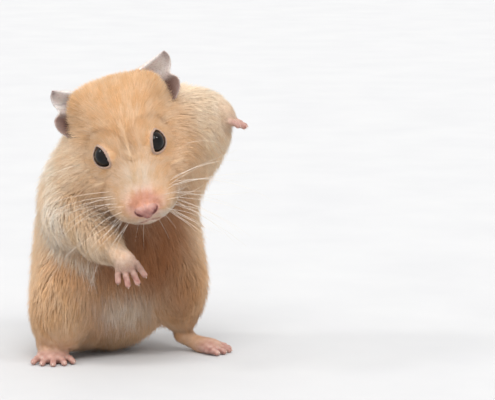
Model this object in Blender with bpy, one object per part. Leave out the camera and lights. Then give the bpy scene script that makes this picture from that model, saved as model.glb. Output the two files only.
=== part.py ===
"""A young adult Syrian hamster standing on its hind feet and leaning on its left forepaw,
life size, as closed solids out to the tips of the coat."""
import math

import bmesh
import bpy
import numpy as np
from mathutils import Matrix, Vector
from mathutils.bvhtree import BVHTree

# ---------------------------------------------------------------- small vector helpers
def unit(v):
    v = np.asarray(v, float)
    return v / np.linalg.norm(v)


def turn(axis, degrees):
    """3x3 rotation about an axis."""
    return np.array(Matrix.Rotation(math.radians(degrees), 3, Vector(axis)))


def smooth_min(a, b, k):
    """Union of two distance fields with a fillet about k wide."""
    h = np.maximum(k - np.abs(a - b), 0.0) / k
    return np.minimum(a, b) - h * h * k * 0.25


def smooth_step(x, lo, hi):
    t = np.clip((x - lo) / (hi - lo), 0.0, 1.0)
    return t * t * (3 - 2 * t)


class Egg:
    """An ellipsoid muscle mass: centre, three radii and an optional 3x3 rotation (columns are its axes)."""

    def __init__(self, centre, radii, axes=None, k=6.0):
        self.c, self.r, self.k = np.array(centre, float), np.array(radii, float), k
        self.axes = np.eye(3) if axes is None else np.array(axes, float)
        self.reach = self.r.max()
        self.middle = self.c

    def field(self, p):
        q = (p - self.c) @ self.axes
        a = np.linalg.norm(q / self.r, axis=1)
        b = np.linalg.norm(q / (self.r * self.r), axis=1)
        return a * (a - 1.0) / np.maximum(b, 1e-9)

    def moved(self, origin, axes):
        return Egg(origin + axes @ self.c, self.r, axes @ self.axes, self.k)

    def body(self, bm):
        made = bmesh.ops.create_icosphere(bm, subdivisions=3, radius=1.0)
        m = np.eye(4)
        m[:3, :3] = self.axes @ np.diag(self.r)
        m[:3, 3] = self.c
        bmesh.ops.transform(bm, matrix=Matrix(m.tolist()), verts=made["verts"])


class Limb:
    """A round tapering limb segment from a to b."""

    def __init__(self, a, b, ra, rb, k=3.0):
        self.a, self.b = np.array(a, float), np.array(b, float)
        self.ra, self.rb, self.k = ra, rb, k
        self.middle = (self.a + self.b) / 2
        self.reach = np.linalg.norm(self.b - self.a) / 2 + max(ra, rb)

    def field(self, p):
        ab = self.b - self.a
        t = np.clip(((p - self.a) @ ab) / (ab @ ab), 0.0, 1.0)
        return np.linalg.norm(p - self.a - t[:, None] * ab, axis=1) - (
            self.ra + t * (self.rb - self.ra)
        )

    def moved(self, origin, axes):
        return Limb(
            origin + axes @ self.a, origin + axes @ self.b, self.ra, self.rb, self.k
        )

    def body(self, bm):
        steps = max(2, int(np.linalg.norm(self.b - self.a) / (0.5 * min(self.ra, self.rb))) + 1)
        for i in range(steps + 1):
            t = i / steps
            made = bmesh.ops.create_icosphere(
                bm, subdivisions=2, radius=self.ra + t * (self.rb - self.ra)
            )
            bmesh.ops.translate(
                bm, vec=Vector(self.a + t * (self.b - self.a)), verts=made["verts"]
            )


def group_field(parts, p):
    """Distance field of several masses, each blended into those before it."""
    d = None
    for part in parts:
        far = np.linalg.norm(p - part.middle, axis=1) - part.reach
        near = far < 14.0
        f = far + 2.0
        if near.any():
            f[near] = part.field(p[near])
        d = f if d is None else smooth_min(d, f, part.k)
    return d

CLAWS_GROWN = True  # claws are joined to the paws
# ---------------------------------------------------------------- the animal's frame, in millimetres
# The floor is z = 0, the animal looks towards -Y, its own left is +X.

# Head: origin midway between the eyes; columns are the animal's left, the way back to the
# occiput, and the crown.  The nose points down and forward, and the head is rolled to its right.
HEAD_PITCH, HEAD_ROLL, HEAD_YAW, VIEW_LOW = 40.0, 16.0, 0.8, 9.0
HEAD_AT = np.array([4.4, -14.5, 64.1])
HEAD_AXES = (
    turn((1, 0, 0), -VIEW_LOW)
    @ turn((0, 1, 0), -HEAD_ROLL)
    @ turn((0, 0, 1), HEAD_YAW)
    @ turn((1, 0, 0), HEAD_PITCH)
)

# Skull and face masses in the head's frame: (lateral, back, up)
HALF_SKULL, SKULL_LONG, SKULL_TALL = 13.5, 17.0, 13.0
EYE_AT, EYE_RADIUS = (7.15, -1.98, 1.92), 3.5


# Nose pad
NOSE_AT, NOSE_RADII = (0.0, -19.2, -7.8), (3.0, 2.4, 2.5)


def both(make):
    """The same mass on the left and on the right of the midline."""
    return [make(1.0), make(-1.0)]


def head_parts():
    local = [Egg((0, 12.5, 0.8), (HALF_SKULL, SKULL_LONG, SKULL_TALL), k=1)]
    local += both(lambda s: Egg((s * 10.0, 16.0, 7.2), (6.0, 7.0, 7.0), k=6))  # ear bases
    local += both(lambda s: Egg((s * 9.2, 12.8, -6.0), (9.4, 11.0, 10.5), k=6))  # cheeks
    local += both(lambda s: Egg((s * 8.4, 3.2, -9.0), (7.9, 8.8, 7.6), k=7))  # jowls
    local += both(lambda s: Egg((s * 5.8, -4.2, -9.2), (5.8, 8.6, 5.6), k=6))  # cheek pouch to whisker pad
    local += [Egg((-13.0, 11.0, -12.0), (8.4, 9.0, 10.0), k=6)]  # loose skin gathered on the low side
    local += [Egg((-15.0, 3.6, -11.4), (8.0, 8.6, 8.6), k=7)]
    local += [Limb((0, 1.0, -4.0), (0, -11.2, -7.8), 8.6, 6.2, k=9)]  # snout
    local += both(lambda s: Egg((s * 4.1, -12.2, -9.0), (4.9, 5.8, 4.6), k=5))  # whisker pads
    local += [Egg((0, -9.4, -12.8), (5.2, 7.0, 3.8), k=4)]  # lower jaw
    local += [Egg((0, -18.5, -7.7), (2.7, 1.8, 2.0), k=2.2)]  # nose pad
    return [part.moved(HEAD_AT, HEAD_AXES) for part in local]


# Pinna in the head's frame, as rows from its lobe up to its tip: the buried root, then the free
# margin, each (lateral, height, depth) in axes tipped back by the head's own pitch.
EAR_ROWS = (
    ((11.0, 8.5, 7.0), (16.6, 9.9, 7.2)),  # below the lobe
    ((10.0, 11.0, 9.0), (18.6, 12.6, 6.4)),  # lobe
    ((9.5, 13.5, 10.0), (18.9, 15.4, 7.2)),
    ((9.0, 16.0, 10.5), (17.2, 17.7, 9.6)),  # notch
    ((8.6, 18.2, 10.5), (18.1, 20.4, 9.2)),
    ((8.4, 19.8, 10.0), (18.1, 22.6, 8.6)),
    ((8.6, 21.0, 9.0), (17.2, 24.2, 8.2)),  # tip
)
EAR_CUP = (1.5, 3.4, 4.2, 3.6, 3.8, 3.0, 0.9)  # hollow of each row
EAR_LIFT = {1: 1.1, -1: -1.2}
EAR_THICK = 0.8


def ear_sheet(side, across=9, between=3, start=0.0):
    """Grid of points over one pinna, in world axes; a start below 0 carries it on into the head."""
    rows, cups = [], []
    n = len(EAR_ROWS)
    for i in range((n - 1) * between + 1):
        u = i / between
        j = min(int(u), n - 2)
        t = u - j
        take = [max(0, min(n - 1, j + d)) for d in (-1, 0, 1, 2)]
        w = (
            -0.5 * t + t * t - 0.5 * t**3,
            1 - 2.5 * t * t + 1.5 * t**3,
            0.5 * t + 2 * t * t - 1.5 * t**3,
            -0.5 * t * t + 0.5 * t**3,
        )
        root = sum(wi * np.array(EAR_ROWS[k][0]) for wi, k in zip(w, take))
        edge = sum(wi * np.array(EAR_ROWS[k][1]) for wi, k in zip(w, take))
        cup = sum(wi * EAR_CUP[k] for wi, k in zip(w, take))
        s = np.linspace(start, 1, across)[:, None]
        line = root + (edge - root) * s
        line[:, 2] += cup * 4 * np.maximum(s * (1 - s), 0)[:, 0]
        rows.append(line)
    g = np.array(rows)
    g[..., 1] += EAR_LIFT[side]
    sp, cp = math.sin(math.radians(HEAD_PITCH)), math.cos(math.radians(HEAD_PITCH))
    local = np.stack(
        [side * g[..., 0], g[..., 1] * sp + g[..., 2] * cp, g[..., 1] * cp - g[..., 2] * sp], axis=-1
    )
    return HEAD_AT + local @ HEAD_AXES.T


def trunk_parts():
    return [
        Egg((-5, 11, 19), (20.5, 19.0, 20.0), k=1),  # rump
        Egg((-1.2, 6, 35.5), (24.6, 20.0, 21.5), k=9),  # belly
        Egg((2.5, 5, 52), (21.0, 18.0, 19.0), k=9),  # chest
        Egg((16, 9, 65), (17.0, 14.5, 16.0), k=9),  # withers and left shoulder
        Egg((-9, 4, 50), (14.0, 13.0, 16.0), k=6),  # right shoulder
    ]


def neck_parts():
    return [Limb((8, 4, 62), (3, -2, 62), 16.0, 14.5, k=8)]


def hind_right_parts():
    return [
        Egg((-14.6, 1, 20), (11.2, 14.0, 18.0), k=1),  # thigh
        Egg((-17.0, -5, 17), (8.6, 9.0, 12.0), k=6),  # knee
        Limb((-18.8, -3, 13), (-20.4, -2.5, 5.0), 6.6, 4.0, k=4),  # shank
        Limb((-20.4, 1.0, 2.8), (-19.7, -6.0, 2.0), 3.0, 2.6, k=2.5),  # heel to instep
    ]


def hind_left_parts():
    return [
        Egg((15.0, 7, 26.5), (11.0, 13.0, 17.5), k=1),
        Egg((17.5, 4, 20), (8.6, 9.0, 10.5), k=6),
        Limb((18.5, 7, 13), (18.6, 8.8, 6.6), 5.6, 3.0, k=4),
        Limb((18.4, 9.3, 4.6), (24.0, 7.6, 2.0), 2.6, 2.1, k=2.0),
        Limb((24.0, 7.6, 2.0), (27.5, 6.6, 1.8), 2.1, 2.0, k=2.0),
    ]


def toes(root, ahead, across, spread, lengths, radius, rise, claw):
    """Digits fanned from the ball of a paw: knuckle, middle joint and pad, each with its claw."""
    made = []
    n = len(lengths)
    for i, length in enumerate(lengths):
        s = i - (n - 1) / 2
        way = unit(ahead + across * s * spread)
        base = root + across * s * radius * 2.15 + ahead * (0.6 - 0.35 * abs(s))
        knuckle = base + way * length * 0.5 + np.array([0, 0, rise])
        tip = base + way * length
        made += [Limb(base, knuckle, radius, radius * 0.92, k=0.8)]
        made += [Limb(knuckle, tip, radius * 0.92, radius * 0.95, k=0.5)]
        if claw:
            root_of_claw = tip + way * radius * 0.55 + np.array([0, 0, 0.25])
            made += [Limb(root_of_claw, root_of_claw + way * 1.25 - np.array([0, 0, 0.2]), 0.42, 0.3, k=0.2)]
    return made


def paw_hind_right_parts(claw=True):
    root, ahead = np.array([-18.9, -7.4, 1.25]), unit((0.05, -1, -0.07))
    return [Egg((-19.2, -6.6, 1.7), (4.9, 4.2, 2.2), k=1)] + toes(
        root, ahead, unit((1, 0.05, 0)), 0.26, [3.9, 4.8, 5.2, 4.8, 3.7], 0.92, 0.35, claw
    )


def paw_hind_left_parts(claw=True):
    root, ahead = np.array([27.0, 6.6, 1.25]), unit((1, -0.22, -0.07))
    return [Egg((26.6, 6.8, 1.7), (3.6, 4.4, 2.1), k=1)] + toes(
        root, ahead, unit((0.22, 1, 0)), 0.2, [3.6, 4.6, 5.1, 4.7, 3.5], 0.9, 0.35, claw
    )


def fore_right_parts():
    return [
        Limb((-14.5, -1, 48.5), (-13.3, -8, 44), 8.8, 8.4, k=1),  # upper arm
        Limb((-13.0, -9.5, 43.0), (-3.5, -17.5, 37.0), 8.0, 5.4, k=4),  # forearm
        Limb((-3.5, -17.5, 37.0), (2.2, -20.5, 33.6), 5.6, 3.0, k=3),  # wrist
    ]


def paw_fore_right_parts(claw=True):
    ahead, across = unit((0.30, -0.22, -0.93)), unit((0.93, -0.1, 0.32))
    root = np.array([3.6, -21.3, 31.6])
    return [Egg((3.2, -21.0, 32.4), (3.1, 1.9, 3.0), k=1)] + toes(
        root, ahead, across, 0.2, [3.6, 5.0, 5.2, 4.2], 0.88, 0.0, claw
    )


def fore_left_parts():
    return [
        Limb((17, 7, 67), (24.0, 6, 70.0), 12.0, 8.8, k=1),
        Limb((24.0, 6, 70.0), (29.3, 5.0, 72.4), 8.4, 4.6, k=4),
        Limb((29.3, 5.0, 71.8), (31.0, 4.8, 71.4), 3.6, 2.6, k=2),
    ]


def paw_fore_left_parts(claw=True):
    ahead, across = unit((0.93, -0.05, -0.35)), unit((0.05, 1, 0.0))
    root = np.array([32.2, 4.6, 70.4])
    return [Egg((31.6, 4.8, 71.0), (2.9, 3.1, 1.8), k=1)] + toes(
        root, ahead, across, 0.2, [3.6, 4.8, 5.0, 4.0], 0.86, 0.3, claw
    )


def tail_parts():
    return [
        Limb((-2, 26, 5.5), (-2.5, 35.0, 2.2), 3.2, 1.5, k=1),
        Limb((-2, 14, 9.0), (-2, 26, 5.5), 3.4, 3.2, k=1),  # root, inside the rump
    ]


def groups(claw):
    """Name, masses and fillet to what is already there, for each part of the body."""
    return (
        ("trunk", trunk_parts(), 1.0),
        ("neck", neck_parts(), 8.0),
        ("head", head_parts(), 4.0),
        ("hind_right", hind_right_parts(), 5.0),
        ("hind_left", hind_left_parts(), 5.0),
        ("fore_right", fore_right_parts(), 4.0),
        ("fore_left", fore_left_parts(), 5.0),
        ("tail", tail_parts(), 2.0),
        ("paw_hind_right", paw_hind_right_parts(claw), 1.5),
        ("paw_hind_left", paw_hind_left_parts(claw), 1.5),
        ("paw_fore_right", paw_fore_right_parts(claw), 1.5),
        ("paw_fore_left", paw_fore_left_parts(claw), 1.5),
    )


GROUPS = groups(CLAWS_GROWN)


def all_fields(p):
    """Field of each group, one column each, and the whole animal's field."""
    columns = np.stack([group_field(parts, p) for _, parts, _ in GROUPS], axis=1)
    whole = columns[:, 0]
    for i in range(1, len(GROUPS)):
        whole = smooth_min(whole, columns[:, i], GROUPS[i][2])
    return columns, whole


def furred_field(p):
    """The animal without its bare paws."""
    columns = [(parts, k) for name, parts, k in GROUPS if not name.startswith("paw")]
    whole = group_field(columns[0][0], p)
    for parts, k in columns[1:]:
        whole = smooth_min(whole, group_field(parts, p), k)
    return whole


def coat_field(p):
    return all_fields(p)[1]


def gradient(field, p, h=0.05):
    g = np.empty_like(p)
    for i in range(3):
        step = np.zeros(3)
        step[i] = h
        g[:, i] = (field(p + step) - field(p - step)) / (2 * h)
    return g


def settle(field, p, rounds=4):
    """Moves points onto the zero level of a field."""
    for _ in range(rounds):
        f = field(p)
        g = gradient(field, p)
        p = p - np.clip(f, -1.5, 1.5)[:, None] * g / np.maximum((g * g).sum(1), 0.05)[:, None]
    return p

# ---------------------------------------------------------------- solids
MM = 0.001
GAP = 0.3  # clearance between neighbouring pieces, mm
CELL = 0.9  # how far past its own masses a limb is parted from the trunk, mm
COARSE, FINE, PAW_FINE = 0.8, 0.5, 0.24  # voxel sizes of the two passes, mm
BODY_TRIANGLES = 2500
PAW_TRIANGLES = 380
COLLAR = 5.5  # depth of the neck's collar behind and below the head, mm
HOME = np.array([6.1, 4.1, 0.0])  # middle of the footprint of the whole, mm

COATS = {
    "fur_gold": ((0.62, 0.36, 0.17), 0.85),
    "fur_cream": ((0.74, 0.55, 0.36), 0.85),
    "ear_grey": ((0.30, 0.27, 0.27), 0.7),
    "skin_pink": ((0.78, 0.42, 0.36), 0.55),
    "eye_black": ((0.008, 0.007, 0.007), 0.08),
}


def material(name):
    m = bpy.data.materials.get(name)
    if m is None:
        m = bpy.data.materials.new(name)
        m.use_nodes = True
        colour, rough = COATS[name]
        shader = m.node_tree.nodes["Principled BSDF"]
        shader.inputs["Base Color"].default_value = (*colour, 1.0)
        shader.inputs["Roughness"].default_value = rough
        shader.inputs["Metallic"].default_value = 0.0
    return m


def new_object(name, mesh):
    ob = bpy.data.objects.new(name, mesh)
    bpy.context.scene.collection.objects.link(ob)
    return ob


def drop(ob):
    mesh = ob.data
    bpy.data.objects.remove(ob)
    bpy.data.meshes.remove(mesh)


def apply_modifiers(ob):
    """Replaces the mesh by its evaluated result."""
    graph = bpy.context.evaluated_depsgraph_get()
    mesh = bpy.data.meshes.new_from_object(ob.evaluated_get(graph))
    old = ob.data
    ob.modifiers.clear()
    ob.data = mesh
    bpy.data.meshes.remove(old)


def points(ob):
    co = np.empty(len(ob.data.vertices) * 3, np.float32)
    ob.data.vertices.foreach_get("co", co)
    return co.reshape(-1, 3).astype(float)


def put_points(ob, p):
    ob.data.vertices.foreach_set("co", p.astype(np.float32).ravel())
    ob.data.update()


def remesh(ob, size):
    m = ob.modifiers.new("even", "REMESH")
    m.mode = "VOXEL"
    m.voxel_size = size
    apply_modifiers(ob)


def decimate(ob, triangles):
    ob.data.calc_loop_triangles()
    m = ob.modifiers.new("fewer", "DECIMATE")
    m.decimate_type = "COLLAPSE"
    m.ratio = min(1.0, triangles / len(ob.data.loop_triangles))
    m.use_collapse_triangulate = True
    apply_modifiers(ob)


def crossings(ob):
    """Number of pairs of triangles of one mesh that pass through each other."""
    bm = bmesh.new()
    bm.from_mesh(ob.data)
    bm.faces.ensure_lookup_table()
    tree = BVHTree.FromBMesh(bm)
    corners = [{v.index for v in f.verts} for f in bm.faces]
    found = sum(1 for a, b in tree.overlap(tree) if a < b and not corners[a] & corners[b])
    bm.free()
    return found


def decimate_clean(ob, triangles):
    """Decimates to about the wanted number, trying neighbouring numbers until nothing crosses."""
    fine = ob.data.copy()
    for factor in (1.0, 1.05, 0.95, 1.1, 0.9, 1.15, 1.2, 1.3):
        old = ob.data
        ob.data = fine.copy()
        bpy.data.meshes.remove(old)
        decimate(ob, triangles * factor)
        if crossings(ob) == 0:
            break
    bpy.data.meshes.remove(fine)


def masses_object(name, parts):
    bm = bmesh.new()
    for part in parts:
        part.body(bm)
    mesh = bpy.data.meshes.new(name)
    bm.to_mesh(mesh)
    bm.free()
    return new_object(name, mesh)


def grown(ob, distance):
    """Copy of a closed piece pushed outwards along its normals."""
    copy = new_object(ob.name + "_grown", ob.data.copy())
    normals = np.empty(len(copy.data.vertices) * 3, np.float32)
    copy.data.vertices.foreach_get("normal", normals)
    put_points(copy, points(copy) + normals.reshape(-1, 3) * distance)
    return copy


def largest(ob):
    """Keeps the biggest connected shell."""
    bm = bmesh.new()
    bm.from_mesh(ob.data)
    bm.verts.ensure_lookup_table()
    seen, best = set(), []
    for start in bm.verts:
        if start.index in seen:
            continue
        seen.add(start.index)
        stack, shell = [start], []
        while stack:
            v = stack.pop()
            shell.append(v)
            for e in v.link_edges:
                w = e.other_vert(v)
                if w.index not in seen:
                    seen.add(w.index)
                    stack.append(w)
        if len(shell) > len(best):
            best = shell
    keep = {v.index for v in best}
    bmesh.ops.delete(bm, geom=[v for v in bm.verts if v.index not in keep], context="VERTS")
    bmesh.ops.triangulate(bm, faces=[f for f in bm.faces if len(f.verts) > 3])
    tidy = bm.copy()
    bmesh.ops.dissolve_degenerate(tidy, dist=0.02, edges=tidy.edges[:])
    bmesh.ops.triangulate(tidy, faces=[f for f in tidy.faces if len(f.verts) > 3])
    good = all(e.is_manifold for e in tidy.edges)
    (tidy if good else bm).to_mesh(ob.data)
    tidy.free()
    bm.free()


def open_edges(ob):
    bm = bmesh.new()
    bm.from_mesh(ob.data)
    count = sum(1 for e in bm.edges if not e.is_manifold)
    bm.free()
    return count


def carve(ob, cutter, operation):
    """One exact Boolean; a cutter that grazes an edge is shifted by a few microns and used again."""
    whole = ob.data.copy()
    for shift in (0.0, 0.007, -0.009, 0.013, -0.017):
        old = ob.data
        ob.data = whole.copy()
        bpy.data.meshes.remove(old)
        cutter.location = (shift, -shift, shift)
        m = ob.modifiers.new("part", "BOOLEAN")
        m.operation = operation
        m.solver = "EXACT"
        m.use_self = True
        m.object = cutter
        apply_modifiers(ob)
        largest(ob)
        if open_edges(ob) == 0 and crossings(ob) == 0:
            break
    bpy.data.meshes.remove(whole)


def split_off(name, body, cell):
    """The share of the body inside a cell, and the body left with a thin gap around that cell."""
    piece = new_object(name, body.data.copy())
    carve(piece, cell, "INTERSECT")
    wider = grown(cell, GAP)
    carve(body, wider, "DIFFERENCE")
    drop(wider)
    drop(cell)
    return piece


def flat_bottom(ob, level=0.0):
    """Cuts everything below the floor away and closes the flats."""
    bm = bmesh.new()
    bm.from_mesh(ob.data)
    bmesh.ops.bisect_plane(
        bm,
        geom=bm.verts[:] + bm.edges[:] + bm.faces[:],
        dist=0.0005,
        plane_co=(0, 0, level),
        plane_no=(0, 0, 1),
        clear_inner=True,
    )
    rim = [e for e in bm.edges if e.is_boundary]
    bmesh.ops.triangle_fill(bm, use_beauty=True, edges=rim)
    bmesh.ops.recalc_face_normals(bm, faces=bm.faces[:])
    bm.to_mesh(ob.data)
    bm.free()


def field_cell(name, parts, level, triangles, size=0.8):
    """Closed smooth cell at a set distance outside some masses."""
    ob = masses_object(name, parts)
    remesh(ob, size)
    put_points(ob, settle(lambda p: group_field(parts, p) - level, points(ob), 4))
    decimate(ob, triangles)
    return ob


def egg_cell(name, centre, radii, axes=None, subdivisions=4):
    bm = bmesh.new()
    made = bmesh.ops.create_icosphere(bm, subdivisions=subdivisions, radius=1.0)
    m = np.eye(4)
    m[:3, :3] = (np.eye(3) if axes is None else axes) @ np.diag(radii)
    m[:3, 3] = centre
    bmesh.ops.transform(bm, matrix=Matrix(m.tolist()), verts=made["verts"])
    mesh = bpy.data.meshes.new(name)
    bm.to_mesh(mesh)
    bm.free()
    return new_object(name, mesh)


def pinna(name, side):
    """One ear: a cupped sheet thickened to a solid, its root ending just short of the head."""
    grid = ear_sheet(side, across=5, between=1)
    rows, cols = grid.shape[:2]
    faces = [
        (i * cols + j, i * cols + j + 1, (i + 1) * cols + j + 1, (i + 1) * cols + j)
        for i in range(rows - 1)
        for j in range(cols - 1)
    ]
    mesh = bpy.data.meshes.new(name)
    mesh.from_pydata(grid.reshape(-1, 3).tolist(), [], faces)
    ob = new_object(name, mesh)
    thick = ob.modifiers.new("thick", "SOLIDIFY")
    thick.thickness = EAR_THICK
    thick.offset = 0.0
    thick.use_even_offset = True
    soft = ob.modifiers.new("soft", "SUBSURF")
    soft.levels = soft.render_levels = 1
    apply_modifiers(ob)
    bm = bmesh.new()
    bm.from_mesh(ob.data)
    bmesh.ops.recalc_face_normals(bm, faces=bm.faces[:])
    bmesh.ops.triangulate(bm, faces=bm.faces[:])
    bm.to_mesh(ob.data)
    bm.free()
    return ob


# ---------------------------------------------------------------- build
for old in list(bpy.data.objects):
    bpy.data.objects.remove(old)

masses = {name: parts for name, parts, _ in GROUPS}
body = masses_object(
    "body", [part for name, parts, _ in GROUPS for part in parts if not name.startswith("paw")]
)
remesh(body, COARSE)
put_points(body, settle(furred_field, points(body), 4))
remesh(body, FINE)
put_points(body, settle(furred_field, points(body), 3))
decimate_clean(body, BODY_TRIANGLES)
flat_bottom(body)
largest(body)

pieces = {}

# ears stand clear of the head
around = grown(body, GAP)
for name, side in (("ear_left", 1), ("ear_right", -1)):
    ear = pinna(name, side)
    carve(ear, around, "DIFFERENCE")
    pieces[name] = (ear, "ear_grey")
drop(around)

# bare paws, let into the ends of the limbs
for name, label in (
    ("paw_fore_left", "forepaw_left"),
    ("paw_fore_right", "forepaw_right"),
    ("paw_hind_left", "hindpaw_left"),
    ("paw_hind_right", "hindpaw_right"),
):
    paw = masses_object(label, masses[name])
    remesh(paw, PAW_FINE)
    put_points(paw, settle(lambda p, m=masses[name]: group_field(m, p), points(paw), 4))
    decimate_clean(paw, PAW_TRIANGLES)
    if "hind" in name:
        flat_bottom(paw)
    largest(paw)
    room = grown(paw, GAP)
    carve(body, room, "DIFFERENCE")
    drop(room)
    pieces[label] = (paw, "skin_pink")

# head with its eye sockets and nose pad, then the collar of the neck around it
skull_and_face = dict((name, parts) for name, parts, _ in GROUPS)["head"]
head = split_off("head", body, field_cell("head_cell", skull_and_face, CELL, 200, size=1.0))
for name, side in (("eye_left", 1), ("eye_right", -1)):
    centre = HEAD_AT + HEAD_AXES @ (np.array(EYE_AT) * (side, 1, 1))
    socket = egg_cell("socket", centre, np.full(3, EYE_RADIUS * 1.07 + GAP), subdivisions=2)
    carve(head, socket, "DIFFERENCE")
    drop(socket)
    ball = egg_cell(name, centre, np.full(3, EYE_RADIUS), subdivisions=3)
    pieces[name] = (ball, "eye_black")
nose_at = HEAD_AT + HEAD_AXES @ np.array(NOSE_AT)
pieces["nose"] = (
    split_off("nose", head, egg_cell("nose_cell", nose_at, NOSE_RADII, HEAD_AXES, subdivisions=2)),
    "skin_pink",
)
pieces["head"] = (head, "fur_gold")
pieces["neck"] = (
    split_off("neck", body, field_cell("neck_cell", skull_and_face[:6], COLLAR, 140, size=1.2)),
    "fur_gold",
)

# the limbs, then the tail; what is left is the trunk
for name, label in (
    ("fore_left", "foreleg_left"),
    ("fore_right", "foreleg_right"),
    ("hind_left", "hindleg_left"),
    ("hind_right", "hindleg_right"),
):
    cell = field_cell(name + "_cell", masses[name], CELL, 130)
    pieces[label] = (split_off(label, body, cell), "fur_gold")
pieces["tail"] = (
    split_off("tail", body, field_cell("tail_cell", masses["tail"], 0.5, 60, size=0.5)),
    "skin_pink",
)
body.name = "trunk"
pieces["trunk"] = (body, "fur_gold")

for name, (ob, coat) in pieces.items():
    ob.name = name
    ob.data.name = name
    put_points(ob, (points(ob) - HOME) * MM)
    ob.data.materials.clear()
    ob.data.materials.append(material(coat))
    ob.data.polygons.foreach_set("material_index", np.zeros(len(ob.data.polygons), np.int32))
    ob.data.shade_smooth()
    ob.data.set_sharp_from_angle(angle=math.radians(50))
    ob.data.update()
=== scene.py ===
import math

import bmesh
import bpy
import numpy as np
from mathutils import Matrix, Vector
from mathutils.bvhtree import BVHTree
from mathutils.kdtree import KDTree


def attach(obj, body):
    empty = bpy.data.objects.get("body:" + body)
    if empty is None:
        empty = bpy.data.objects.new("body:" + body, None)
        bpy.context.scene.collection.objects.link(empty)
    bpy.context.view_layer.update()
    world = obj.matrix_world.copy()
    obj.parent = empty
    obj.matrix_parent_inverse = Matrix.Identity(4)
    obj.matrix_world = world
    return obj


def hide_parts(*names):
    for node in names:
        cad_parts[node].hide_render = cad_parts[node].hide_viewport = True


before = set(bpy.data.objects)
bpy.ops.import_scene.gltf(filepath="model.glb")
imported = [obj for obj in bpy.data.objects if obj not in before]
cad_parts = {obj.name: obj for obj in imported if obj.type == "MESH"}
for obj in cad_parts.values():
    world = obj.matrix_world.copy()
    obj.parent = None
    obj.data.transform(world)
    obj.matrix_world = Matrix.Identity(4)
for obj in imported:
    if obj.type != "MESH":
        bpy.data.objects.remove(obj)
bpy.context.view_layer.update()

# ---------------------------------------------------------------- small vector helpers
def unit(v):
    v = np.asarray(v, float)
    return v / np.linalg.norm(v)


def turn(axis, degrees):
    """3x3 rotation about an axis."""
    return np.array(Matrix.Rotation(math.radians(degrees), 3, Vector(axis)))


def smooth_min(a, b, k):
    """Union of two distance fields with a fillet about k wide."""
    h = np.maximum(k - np.abs(a - b), 0.0) / k
    return np.minimum(a, b) - h * h * k * 0.25


def smooth_step(x, lo, hi):
    t = np.clip((x - lo) / (hi - lo), 0.0, 1.0)
    return t * t * (3 - 2 * t)


class Egg:
    """An ellipsoid muscle mass: centre, three radii and an optional 3x3 rotation (columns are its axes)."""

    def __init__(self, centre, radii, axes=None, k=6.0):
        self.c, self.r, self.k = np.array(centre, float), np.array(radii, float), k
        self.axes = np.eye(3) if axes is None else np.array(axes, float)
        self.reach = self.r.max()
        self.middle = self.c

    def field(self, p):
        q = (p - self.c) @ self.axes
        a = np.linalg.norm(q / self.r, axis=1)
        b = np.linalg.norm(q / (self.r * self.r), axis=1)
        return a * (a - 1.0) / np.maximum(b, 1e-9)

    def moved(self, origin, axes):
        return Egg(origin + axes @ self.c, self.r, axes @ self.axes, self.k)

    def body(self, bm):
        made = bmesh.ops.create_icosphere(bm, subdivisions=3, radius=1.0)
        m = np.eye(4)
        m[:3, :3] = self.axes @ np.diag(self.r)
        m[:3, 3] = self.c
        bmesh.ops.transform(bm, matrix=Matrix(m.tolist()), verts=made["verts"])


class Limb:
    """A round tapering limb segment from a to b."""

    def __init__(self, a, b, ra, rb, k=3.0):
        self.a, self.b = np.array(a, float), np.array(b, float)
        self.ra, self.rb, self.k = ra, rb, k
        self.middle = (self.a + self.b) / 2
        self.reach = np.linalg.norm(self.b - self.a) / 2 + max(ra, rb)

    def field(self, p):
        ab = self.b - self.a
        t = np.clip(((p - self.a) @ ab) / (ab @ ab), 0.0, 1.0)
        return np.linalg.norm(p - self.a - t[:, None] * ab, axis=1) - (
            self.ra + t * (self.rb - self.ra)
        )

    def moved(self, origin, axes):
        return Limb(
            origin + axes @ self.a, origin + axes @ self.b, self.ra, self.rb, self.k
        )

    def body(self, bm):
        steps = max(2, int(np.linalg.norm(self.b - self.a) / (0.5 * min(self.ra, self.rb))) + 1)
        for i in range(steps + 1):
            t = i / steps
            made = bmesh.ops.create_icosphere(
                bm, subdivisions=2, radius=self.ra + t * (self.rb - self.ra)
            )
            bmesh.ops.translate(
                bm, vec=Vector(self.a + t * (self.b - self.a)), verts=made["verts"]
            )


def group_field(parts, p):
    """Distance field of several masses, each blended into those before it."""
    d = None
    for part in parts:
        far = np.linalg.norm(p - part.middle, axis=1) - part.reach
        near = far < 14.0
        f = far + 2.0
        if near.any():
            f[near] = part.field(p[near])
        d = f if d is None else smooth_min(d, f, part.k)
    return d

CLAWS_GROWN = False  # claws are pieces of their own here
# ---------------------------------------------------------------- the animal's frame, in millimetres
# The floor is z = 0, the animal looks towards -Y, its own left is +X.

# Head: origin midway between the eyes; columns are the animal's left, the way back to the
# occiput, and the crown.  The nose points down and forward, and the head is rolled to its right.
HEAD_PITCH, HEAD_ROLL, HEAD_YAW, VIEW_LOW = 40.0, 16.0, 0.8, 9.0
HEAD_AT = np.array([4.4, -14.5, 64.1])
HEAD_AXES = (
    turn((1, 0, 0), -VIEW_LOW)
    @ turn((0, 1, 0), -HEAD_ROLL)
    @ turn((0, 0, 1), HEAD_YAW)
    @ turn((1, 0, 0), HEAD_PITCH)
)

# Skull and face masses in the head's frame: (lateral, back, up)
HALF_SKULL, SKULL_LONG, SKULL_TALL = 13.5, 17.0, 13.0
EYE_AT, EYE_RADIUS = (7.15, -1.98, 1.92), 3.5


# Nose pad
NOSE_AT, NOSE_RADII = (0.0, -19.2, -7.8), (3.0, 2.4, 2.5)


def both(make):
    """The same mass on the left and on the right of the midline."""
    return [make(1.0), make(-1.0)]


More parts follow.
